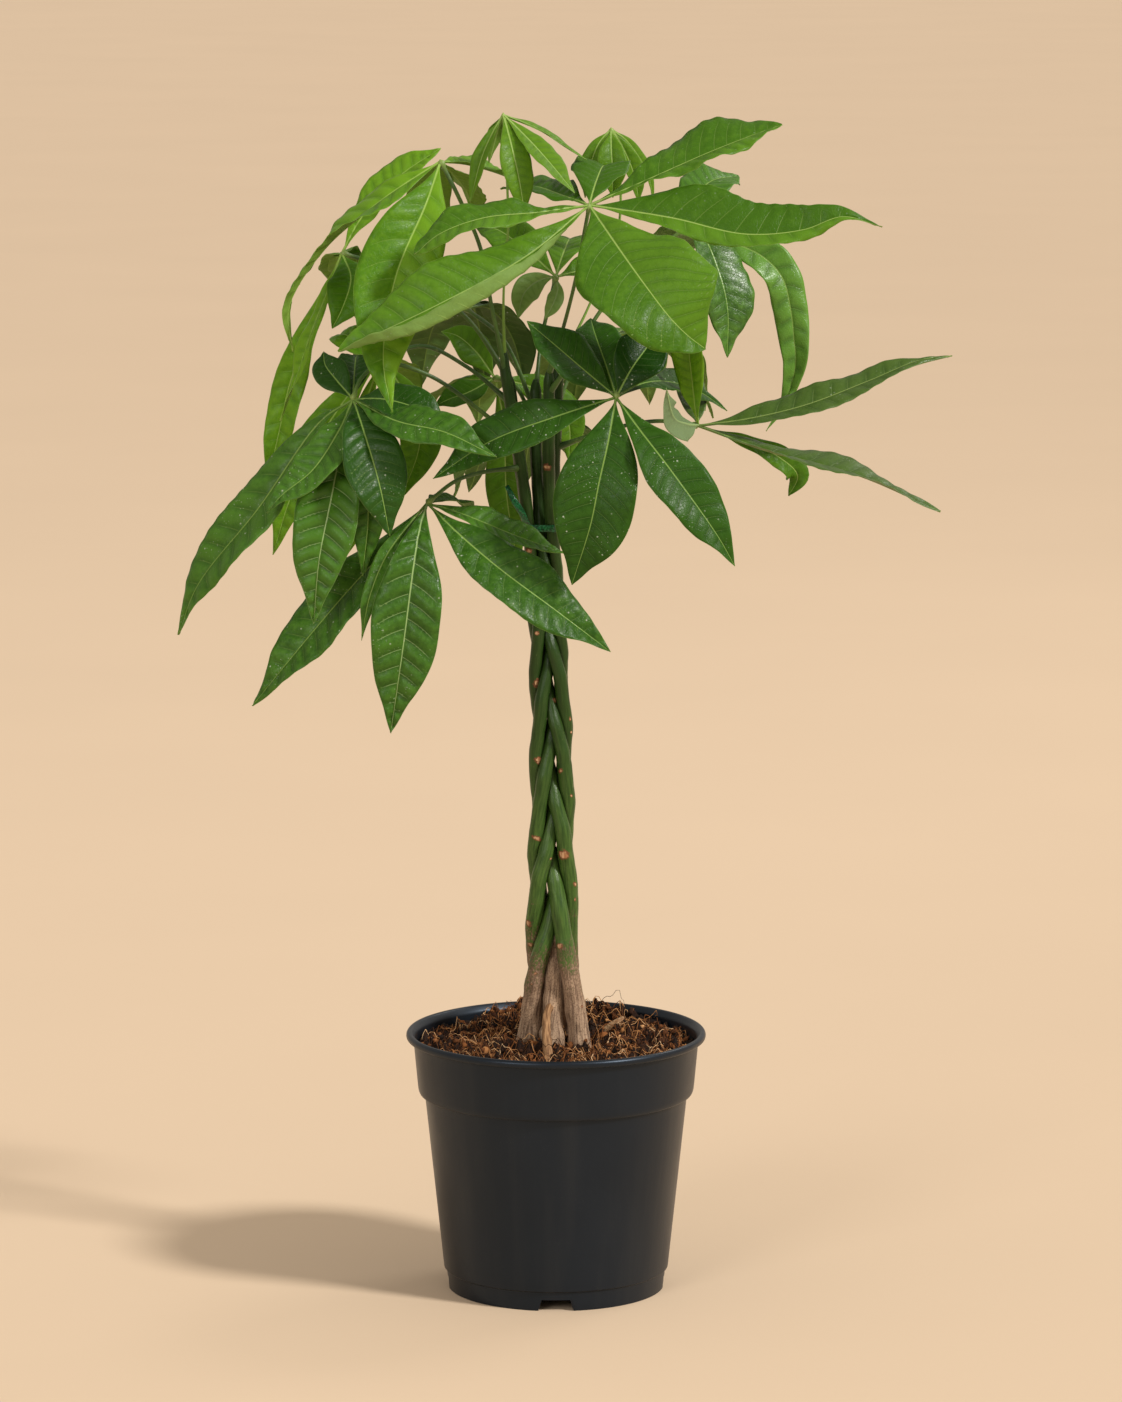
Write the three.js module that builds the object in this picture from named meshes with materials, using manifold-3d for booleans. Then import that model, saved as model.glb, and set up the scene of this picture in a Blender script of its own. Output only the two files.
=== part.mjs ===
// A money tree (Pachira) in its nursery pot: five young trunks plaited together, a twist tie under
// the crown, and palmate leaves. Millimetres, +Z up. The origin is on the pot's axis at the floor,
// and the plant's front faces -Y.
import * as THREE from 'three';
import { mergeVertices } from 'three/addons/utils/BufferGeometryUtils.js';
import Module from 'manifold-3d';

const wasm = await Module();
wasm.setup();

const gap = 0.3; // between pieces that touch on the real plant
const finest = 0.04; // edges and slivers smaller than this are closed up

const pot = {
  height: 183, wall: 1.8, footRadius: 76, footHeight: 8, footStep: 14, bodyFoot: 78.8, bodyTop: 92,
  collarLow: 139, collarFoot: 96.5, collarTop: 100, lipHeight: 5.5, lipRadius: 105,
  wellRadius: 44, wellSlope: 4, floor: 2, sides: 32,
  notches: 4, notchWidth: 24, notchDepth: 12, holeRadius: 5, holeCircle: 60, holeSides: 12,
};

const soil = {
  level: 170, mound: 5.5, moundSpread: 48, heap: 14, heapAt: [4, 76], heapSpread: [58, 28],
  rings: 7, crowding: 1.2, sides: 26, inset: 0.5, ripple: 0.8, flatEdge: 96, edgeWidth: 20,
};

// Five strands swing from side to side and cross at the middle, each a fifth of a turn after the last.
// Crossings are the heights at which a strand from the right goes behind; room is what two trunks need
// between their middles, in radii.
const plait = {
  crossings: [178, 238, 298, 357, 415, 470, 521, 572], offset: 1.482,
  swing: 2.1, depth: 2.2, square: 0.08, middle: 4, legs: [178, 262], closes: [480, 536],
  bottom: 120, lowest: 166, highest: 664, step: 18, sides: 7,
  room: 2.33, passes: 60, evenPasses: 50, evenness: 0.12, tip: 2, tipRadius: 1.8, clearOfTip: 6,
};
const plaitAxis = [[100, -1], [180, -1], [262, -3.8], [300, -2.8], [415, -2.8], [460, -5], [536, -10.5]];
const stemRadius = [
  [100, 7], [150, 7.6], [185, 7.3], [215, 6.6], [250, 5.8], [285, 5.35], [340, 4.95], [400, 4.5],
  [460, 4.1], [536, 3.95], [600, 4.2], [640, 3.7], [670, 3],
];
// Each trunk: its foot [x, y], its place in the tied bundle, and its way up [z, x, y] from there.
const stems = {
  left: {
    foot: [-21.5, 14], tied: [-4.4, -5.8],
    up: [[570, -21.5, -3], [590, -25.5, -3], [620, -32.5, -2], [662, -36.5, 0]],
  },
  rear_right: { foot: [12, 24], tied: [6.9, 2.4], up: [[570, -2, 9], [590, -1.5, 11], [655, 2, 15]] },
  right: { foot: [20, -4], tied: [4.4, -5.8], up: [[570, -5.2, -4], [590, -5.8, -5], [650, -4.5, -6]] },
  middle: { foot: [-2, -10], tied: [0, 7.6], up: [[570, -14, 14], [590, -16, 17], [640, -14, 23]] },
  rear_left: { foot: [-8, 29], tied: [-6.9, 2.4], up: [[570, -22, 8], [590, -27, 12], [645, -34, 20]] },
};

// The tail starts between two trunks, starts.x and starts.y from the middle between them, and twists.
const tie = {
  height: 538, band: 5, thick: 0.9, clear: 0.5, sides: 26, tailWidth: 2.6, starts: [-4, -9],
  turned: 0.5, twist: 2.2, lean: 0.25, rows: 7,
  tail: [[-20, 541, 9], [-24, 549, 11], [-29, 557, 12], [-34, 567, 12]],
};
// A root that leaves the middle trunk above the soil, and a splinter of bark stuck in the soil.
const propRoot = {
  from: 205, via: [[-6.4, 194, 13], [-6.8, 185, 22], [-6.2, 174, 36], [-5.4, 158, 50]],
  thin: 2.4, thick: 3.7, rows: 5, sides: 7,
};
const chip = {
  points: [[30, 176, -36], [33, 180, -35], [39, 186, -34], [46, 191, -33]],
  thick: 3.4, thin: 0.7, rows: 4, sides: 5,
};

// The share of a blade's length at each of its rows, for long blades and for short ones.
const longRows = [0, 0.16, 0.38, 0.62, 0.85, 1];
const shortRows = [0, 0.25, 0.65, 1];
const blade = {
  short: 78, thick: 1, fold: 12, lift: 0.8, stalk: 1.5, tip: 0.5, widest: 0.53, slim: 1.5, blunt: 0.95,
};
const petiole = { rows: 6, sides: 5, thick: 2, thin: 0.65, thinFrom: 0.25 };
const hub = { radius: 3, least: 0.4 };
// Hanging leaflets at the back: shares of their reach, and of their droop there.
const hanging = [[0.35, 0.02], [0.72, 0.35], [0.95, 0.95]];
const outermost = { reach: 0.35, width: 0.25 }; // what the outer leaflets at the back lack

// The plant is laid out as it is seen from the front: across and up are where a point shows on the
// upright plane through the pot's axis, and forward is how far it stands in front of that plane.
const eye = { across: 3.5, distance: 4100, up: 1060 };

function seen([across, up, forward]) {
  const nearer = forward / eye.distance;
  return new THREE.Vector3(
    across + (eye.across - across) * nearer,
    -forward,
    up + (eye.up - up) * nearer,
  );
}

function along(list, at) {
  const last = list.length - 1;
  const next = Math.min(Math.max(list.findIndex((row) => row[0] > at), 1), last);
  const after = at >= list[last][0] ? last : next;
  const before = list[after - 1];
  const share = THREE.MathUtils.clamp((at - before[0]) / (list[after][0] - before[0]), 0, 1);
  return list[after].slice(1).map((value, i) => THREE.MathUtils.lerp(before[i + 1], value, share));
}

// A closed body through rings of equally many points. From the ring point `mirrored` on, the
// triangles lean the other way, so that both faces of a blade are split alike.
function skin(rings, mirrored = Infinity) {
  const count = rings[0].length;
  const points = rings.flat();
  const faces = [];
  for (let row = 0; row < rings.length - 1; row += 1) {
    for (let j = 0; j < count; j += 1) {
      const a = row * count + j;
      const b = row * count + ((j + 1) % count);
      const [c, d] = [b + count, a + count];
      faces.push(...(j < mirrored ? [a, b, c, a, c, d] : [a, b, d, b, c, d]));
    }
  }
  for (const [row, turned] of [[0, false], [rings.length - 1, true]]) {
    const middle = rings[row].reduce((sum, p) => sum.add(p), new THREE.Vector3()).divideScalar(count);
    const centre = points.push(middle) - 1;
    for (let j = 0; j < count; j += 1) {
      const [a, b] = [row * count + j, row * count + ((j + 1) % count)];
      faces.push(centre, ...(turned ? [a, b] : [b, a]));
    }
  }
  const geometry = new THREE.BufferGeometry().setFromPoints(points);
  geometry.setIndex(volume(points, faces) < 0 ? faces.reverse() : faces);
  return geometry;
}

function volume(points, faces) {
  let sum = 0;
  for (let i = 0; i < faces.length; i += 3) {
    const [a, b, c] = [points[faces[i]], points[faces[i + 1]], points[faces[i + 2]]];
    sum += a.dot(new THREE.Vector3().crossVectors(b, c));
  }
  return sum;
}

// A round rod along a curve, with a radius for each share of its length.
function rod(curve, radiusAt, rows, sides) {
  const rings = [];
  const side = new THREE.Vector3(0.31, 0.17, 0.93);
  for (let row = 0; row <= rows; row += 1) {
    const share = row / rows;
    const tangent = curve.getTangentAt(share);
    side.addScaledVector(tangent, -side.dot(tangent)).normalize();
    const other = new THREE.Vector3().crossVectors(tangent, side);
    const centre = curve.getPointAt(share);
    rings.push(Array.from({ length: sides }, (_, j) => {
      const angle = (j / sides) * 2 * Math.PI;
      return centre.clone()
        .addScaledVector(side, radiusAt(share) * Math.cos(angle))
        .addScaledVector(other, radiusAt(share) * Math.sin(angle));
    }));
  }
  return skin(rings);
}

function solid(geometry) {
  geometry.deleteAttribute('normal');
  geometry.deleteAttribute('uv');
  const merged = mergeVertices(geometry, 1e-4);
  return new wasm.Manifold(new wasm.Mesh({
    numProp: 3,
    vertProperties: Float32Array.from(merged.attributes.position.array),
    triVerts: Uint32Array.from(merged.index.array),
  }));
}

function piece(name, body, look) {
  const { vertProperties, triVerts } = body.simplify(finest).getMesh();
  const geometry = new THREE.BufferGeometry();
  geometry.setAttribute('position', new THREE.BufferAttribute(vertProperties, 3));
  geometry.setIndex(new THREE.BufferAttribute(triVerts, 1));
  geometry.computeVertexNormals();
  const mesh = new THREE.Mesh(geometry, look);
  mesh.name = name;
  return mesh;
}

const looks = {
  pot: new THREE.MeshStandardMaterial({ color: 0x2b2c30, roughness: 0.42, metalness: 0 }),
  soil: new THREE.MeshStandardMaterial({ color: 0x4a3225, roughness: 0.95, metalness: 0 }),
  bark: new THREE.MeshStandardMaterial({ color: 0x6f7f43, roughness: 0.75, metalness: 0 }),
  leaf: new THREE.MeshStandardMaterial({ color: 0x3f6b2a, roughness: 0.45, metalness: 0 }),
  youngLeaf: new THREE.MeshStandardMaterial({ color: 0x86a84a, roughness: 0.45, metalness: 0 }),
  tie: new THREE.MeshStandardMaterial({ color: 0x1f4a2c, roughness: 0.3, metalness: 0 }),
  wood: new THREE.MeshStandardMaterial({ color: 0xb08a5e, roughness: 0.85, metalness: 0 }),
};

// The pot's inner face, from the well in the middle of its floor up to the soil's edge.
const innerFace = [
  [pot.wellRadius, pot.floor], [pot.wellRadius + pot.wellSlope, pot.footHeight + pot.floor],
  [pot.footRadius + 0.6, pot.footHeight + pot.floor], [pot.bodyFoot + 0.9 - pot.wall, 30],
  [pot.bodyTop - pot.wall, pot.collarLow - 0.6], [pot.collarFoot - pot.wall, pot.collarLow + 2.7],
  [pot.collarTop - pot.wall, pot.height - pot.lipHeight],
];

function lathe(profile, sides) {
  const points = profile.map(([radius, height]) => new THREE.Vector2(radius, height));
  return solid(new THREE.LatheGeometry(points, sides).rotateX(Math.PI / 2));
}

function makePot() {
  const top = pot.height;
  const lip = top - pot.lipHeight;
  const foot = pot.footHeight;
  const profile = [
    [0, 0], [pot.wellRadius, 0], [pot.wellRadius + pot.wellSlope + 1, foot],
    [pot.footRadius - 2.2, foot], [pot.footRadius - 2, 0], [pot.footRadius, 0],
    [pot.footRadius + 1, pot.footStep - 0.6], [pot.bodyFoot, pot.footStep + 0.2],
    [pot.bodyTop, pot.collarLow], [pot.collarFoot - 1.3, pot.collarLow + 0.5],
    [pot.collarFoot, pot.collarLow + 2.5], [pot.collarTop, lip],
    [pot.lipRadius - 0.5, lip + 0.3], [pot.lipRadius, top - 1.6],
    [pot.lipRadius - 1.4, top], [pot.lipRadius - 3.4, top], [pot.lipRadius - 4.8, top - 1.8],
    ...innerFace.slice().reverse(), [0, pot.floor],
  ];
  let body = lathe(profile, pot.sides);
  for (let i = 0; i < pot.notches; i += 1) {
    const turn = (i / pot.notches) * 2 * Math.PI;
    const notch = new THREE.BoxGeometry(pot.notchWidth, pot.notchDepth, 2 * pot.footHeight);
    notch.translate(0, -pot.footRadius, 0).rotateZ(turn);
    const drilled = 3 * pot.footHeight;
    const hole = new THREE.CylinderGeometry(pot.holeRadius, pot.holeRadius, drilled, pot.holeSides);
    hole.rotateX(Math.PI / 2).translate(0, pot.holeCircle, 0).rotateZ(turn);
    body = body.subtract(solid(notch)).subtract(solid(hole));
  }
  return body;
}

function soilHeight(x, y) {
  const out = Math.hypot(x, y);
  const mound = soil.mound * Math.exp(-((out / soil.moundSpread) ** 2));
  const [across, back] = [x, y].map((at, i) => (at - soil.heapAt[i]) / soil.heapSpread[i]);
  const heap = soil.heap * Math.exp(-(across ** 2) - back ** 2);
  const ripple = Math.sin(x * 0.13 + 1) * Math.cos(y * 0.11) + 0.6 * Math.sin((x - y) * 0.21);
  const uneven = soil.ripple * ripple * Math.min(1, (soil.flatEdge - out) / soil.edgeWidth);
  return soil.level + mound + heap + uneven;
}

// The filling follows the pot's inner face and is mounded round the trunks.
function makeSoil() {
  const reach = along(innerFace.map(([radius, height]) => [height, radius]), soil.level)[0] - gap;
  const ring = (radius, heightAt) => Array.from({ length: soil.sides }, (_, j) => {
    const angle = (j / soil.sides) * 2 * Math.PI;
    const [x, y] = [radius * Math.cos(angle), radius * Math.sin(angle)];
    return new THREE.Vector3(x, y, heightAt(x, y));
  });
  const wall = innerFace.slice(0, -1).map(([radius, height]) => (
    ring(radius - gap - soil.inset, () => height + gap)));
  const top = Array.from({ length: soil.rings }, (_, i) => (
    ring(reach * (1 - (i / soil.rings) ** soil.crowding) - soil.inset, soilHeight)));
  return solid(skin([...wall, ...top]));
}

const stemNames = Object.keys(stems);
const levels = [plait.bottom];
for (let z = plait.lowest; z <= plait.highest; z += plait.step) levels.push(z);

// Where a strand runs in the plait: it swings from side to side and passes before and behind the rest.
function woven(order, z) {
  const thick = along(stemRadius, z)[0];
  const crossed = along(plait.crossings.map((height, i) => [height, i]), z)[0] - plait.offset;
  const turn = (2 * Math.PI * (crossed + order)) / stemNames.length;
  const swing = (Math.sin(turn) - plait.square * Math.sin(3 * turn)) / (1 + plait.square);
  return new THREE.Vector2(
    along(plaitAxis, z)[0] + plait.swing * thick * swing,
    plait.middle + plait.depth * thick * Math.sin(2 * turn),
  );
}

// Where a trunk runs: a straight leg from its foot, the plait, the tied bundle, then its own way up.
function strand(order, stem, z) {
  const [foot, joins] = plait.legs;
  const leg = THREE.MathUtils.clamp((z - foot) / (joins - foot), 0, 1);
  const spot = new THREE.Vector2(...stem.foot).lerp(woven(order, Math.max(z, joins)), leg);
  const tied = new THREE.Vector2(stem.tied[0] + plaitAxis.at(-1)[1], stem.tied[1] + plait.middle);
  spot.lerp(tied, THREE.MathUtils.smoothstep(z, ...plait.closes));
  const [x, y] = along([[plait.closes[1], ...tied.toArray()], ...stem.up], z);
  return z > plait.closes[1] ? new THREE.Vector2(x, y) : spot;
}

// The trunks lean on each other: where two come too close, both are eased apart.
function easeApart(paths) {
  for (let pass = 0; pass < plait.passes; pass += 1) {
    for (let row = 0; row < levels.length; row += 1) {
      const room = plait.room * along(stemRadius, levels[row])[0] + 2 * gap;
      for (let i = 0; i < paths.length; i += 1) {
        for (let j = i + 1; j < paths.length; j += 1) {
          const apart = paths[i][row].clone().sub(paths[j][row]);
          const lack = room - apart.length();
          if (lack > 0) {
            apart.setLength(lack / 2);
            paths[i][row].add(apart);
            paths[j][row].sub(apart);
          }
        }
      }
    }
    if (pass < plait.evenPasses) paths.forEach(even);
  }
}

// Each point of a path moves a little towards the middle of its neighbours.
function even(path) {
  const before = path.map((p) => p.clone());
  for (let row = 1; row < path.length - 1; row += 1) {
    const mean = before[row - 1].clone().add(before[row + 1]).multiplyScalar(0.5);
    path[row].lerp(mean, plait.evenness);
  }
}

const paths = stemNames.map((name, order) => levels.map((z) => strand(order, stems[name], z)));
easeApart(paths);

function stemTop(name) {
  return stems[name].up.at(-1)[0];
}

function stemSpot(name, z) {
  const path = paths[stemNames.indexOf(name)];
  const [x, y] = along(levels.map((level, row) => [level, path[row].x, path[row].y]), z);
  return new THREE.Vector3(x, y, z);
}

function makeRoot(extra) {
  const curve = new THREE.CatmullRomCurve3([stemSpot('middle', propRoot.from), ...propRoot.via.map(seen)]);
  const radiusAt = (share) => THREE.MathUtils.lerp(propRoot.thin, propRoot.thick, share) + extra;
  return solid(rod(curve, radiusAt, propRoot.rows, propRoot.sides));
}

function makeChip(extra) {
  const curve = new THREE.CatmullRomCurve3(chip.points.map(seen));
  const radiusAt = (share) => THREE.MathUtils.lerp(chip.thick, chip.thin, share ** 2) + extra;
  return solid(rod(curve, radiusAt, chip.rows, chip.sides));
}

function makeStem(name, extra = 0) {
  const heights = [...levels.filter((z) => z < stemTop(name) - plait.clearOfTip), stemTop(name)];
  const ring = (z, radius) => Array.from({ length: plait.sides }, (_, j) => {
    const angle = (j / plait.sides) * 2 * Math.PI;
    return stemSpot(name, z).add(new THREE.Vector3(radius * Math.cos(angle), radius * Math.sin(angle), 0));
  });
  const rings = heights.map((z) => ring(z, along(stemRadius, z)[0] + extra));
  rings.push(ring(stemTop(name) + plait.tip + extra, plait.tipRadius + extra));
  const trunk = solid(skin(rings));
  return name === 'middle' ? trunk.add(makeRoot(extra)) : trunk;
}

function makeTie(bundle) {
  const middle = stemSpot('left', tie.height).add(stemSpot('rear_right', tie.height)).multiplyScalar(0.5);
  const hull = (reach, z) => Array.from({ length: tie.sides }, (_, j) => {
    const angle = (j / tie.sides) * 2 * Math.PI;
    const way = new THREE.Vector3(Math.cos(angle), Math.sin(angle), 0);
    const spots = stemNames.map((name) => stemSpot(name, tie.height).setZ(z));
    const outer = spots.reduce((best, p) => (p.dot(way) > best.dot(way) ? p : best));
    return outer.clone().addScaledVector(way, along(stemRadius, tie.height)[0] + reach);
  });
  const [low, high] = [tie.height - tie.band / 2, tie.height + tie.band / 2];
  const outer = skin([hull(tie.clear + tie.thick, low), hull(tie.clear + tie.thick, high)]);
  const inner = solid(skin([hull(tie.clear, low - 1), hull(tie.clear, high + 1)]));
  const start = middle.add(new THREE.Vector3(...tie.starts, 0));
  const tail = new THREE.CatmullRomCurve3([start, ...tie.tail.map(seen)]);
  const strip = Array.from({ length: tie.rows + 1 }, (_, row) => {
    const share = row / tie.rows;
    const centre = tail.getPointAt(share);
    const turn = tie.turned + share * tie.twist;
    const flat = new THREE.Vector3(Math.cos(turn), Math.sin(turn), tie.lean).normalize();
    const tangent = tail.getTangentAt(share);
    const across = new THREE.Vector3().crossVectors(tangent, flat).normalize();
    const corner = (u, v) => centre.clone()
      .addScaledVector(across, (u * tie.tailWidth) / 2)
      .addScaledVector(flat, (v * tie.thick) / 2);
    return [corner(-1, -1), corner(1, -1), corner(1, 1), corner(-1, 1)];
  });
  return solid(outer).add(solid(skin(strip))).subtract(inner).subtract(bundle);
}

const plainLeaflet = {
  fold: blade.fold, twist: 0, widest: blade.widest, blunt: blade.blunt, uneven: 0, slant: 0,
};

// One leaflet: a blade bent along its rib, folded a little to a V, with a drawn-out tip.
// Fold and twist are in degrees. Uneven makes one half wider than the other, and slant sets the widest
// places of the two halves apart.
function leaflet(shape) {
  const { width, faces, points, fold, twist, widest, blunt, uneven, slant } = { ...plainLeaflet, ...shape };
  const curve = new THREE.CatmullRomCurve3(points);
  const rows = curve.getLength() < blade.short ? shortRows : longRows;
  const rings = rows.map((share) => {
    const tangent = curve.getTangentAt(share);
    const normal = faces.clone().applyAxisAngle(tangent, THREE.MathUtils.degToRad(twist * share));
    normal.addScaledVector(tangent, -normal.dot(tangent)).normalize();
    const side = new THREE.Vector3().crossVectors(tangent, normal);
    const halfWidth = (sideways) => {
      const most = widest - slant * sideways;
      const full = share < most
        ? Math.sin((share / most) * (Math.PI / 2)) ** blade.slim
        : Math.cos(((share - most) / (1 - most)) * (Math.PI / 2)) ** blunt;
      return Math.max((full * width) / 2, share < most ? blade.stalk : blade.tip) * (1 + uneven * sideways);
    };
    const lift = Math.tan(THREE.MathUtils.degToRad(fold)) * halfWidth(0) * blade.lift;
    const centre = curve.getPointAt(share);
    const place = (sideways, face) => centre.clone()
      .addScaledVector(side, sideways * halfWidth(sideways))
      .addScaledVector(normal, Math.abs(sideways) * lift + (face * blade.thick) / 2);
    return [place(-1, 1), place(0, 1), place(1, 1), place(1, -1), place(0, -1), place(-1, -1)];
  });
  return solid(skin(rings, 3));
}

// A leaf: petiole from its trunk, a small hub, and the leaflets that spread from it.
function makeLeaf({ stem, at, via, meets, leaflets, thin = 1 }) {
  const start = stemSpot(stem, at);
  const end = seen(meets);
  const curve = new THREE.CatmullRomCurve3([start, ...via.map(seen), end]);
  const thickness = (share) => thin * (petiole.thick - petiole.thin * Math.min(1, share / petiole.thinFrom));
  const stalk = rod(curve, thickness, petiole.rows, petiole.sides);
  let body = solid(stalk).subtract(makeStem(stem, gap));
  body = body.decompose().sort((a, b) => b.volume() - a.volume())[0];
  const knobRadius = hub.radius * THREE.MathUtils.lerp(hub.least, 1, thin);
  body = body.add(solid(new THREE.IcosahedronGeometry(knobRadius, 0).translate(...end.toArray())));
  for (const { points, faces, ...rest } of leaflets) {
    const through = [end, ...points.map((p) => (p.isVector3 ? p : seen(p)))];
    body = body.add(leaflet({ points: through, faces: new THREE.Vector3(...faces), ...rest }));
  }
  return body;
}

function spread(width, faces, points, rest = {}) {
  return { width, faces, points, ...rest };
}

// The leaflets of a leaf at the back, spread evenly round its hub and hanging.
function fan(meets, { heading, open, reach, droop, width, count }) {
  return Array.from({ length: count }, (_, i) => {
    const aside = (2 * i) / (count - 1) - 1; // from -1 to 1
    const bearing = THREE.MathUtils.degToRad(heading + (aside * open) / 2);
    const way = new THREE.Vector3(Math.cos(bearing), Math.sin(bearing), 0);
    const long = reach * (1 - outermost.reach * Math.abs(aside));
    return {
      width: width * (1 - outermost.width * Math.abs(aside)),
      faces: [way.x, way.y, 1.6],
      points: hanging.map(([share, fall]) => (
        seen(meets).addScaledVector(way, long * share).setZ(seen(meets).z - fall * droop))),
    };
  });
}

const rearRight = [40, 672, -92];
const rearLeft = [-62, 690, -92];
const rearLow = [-8, 606, -106];

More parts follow.
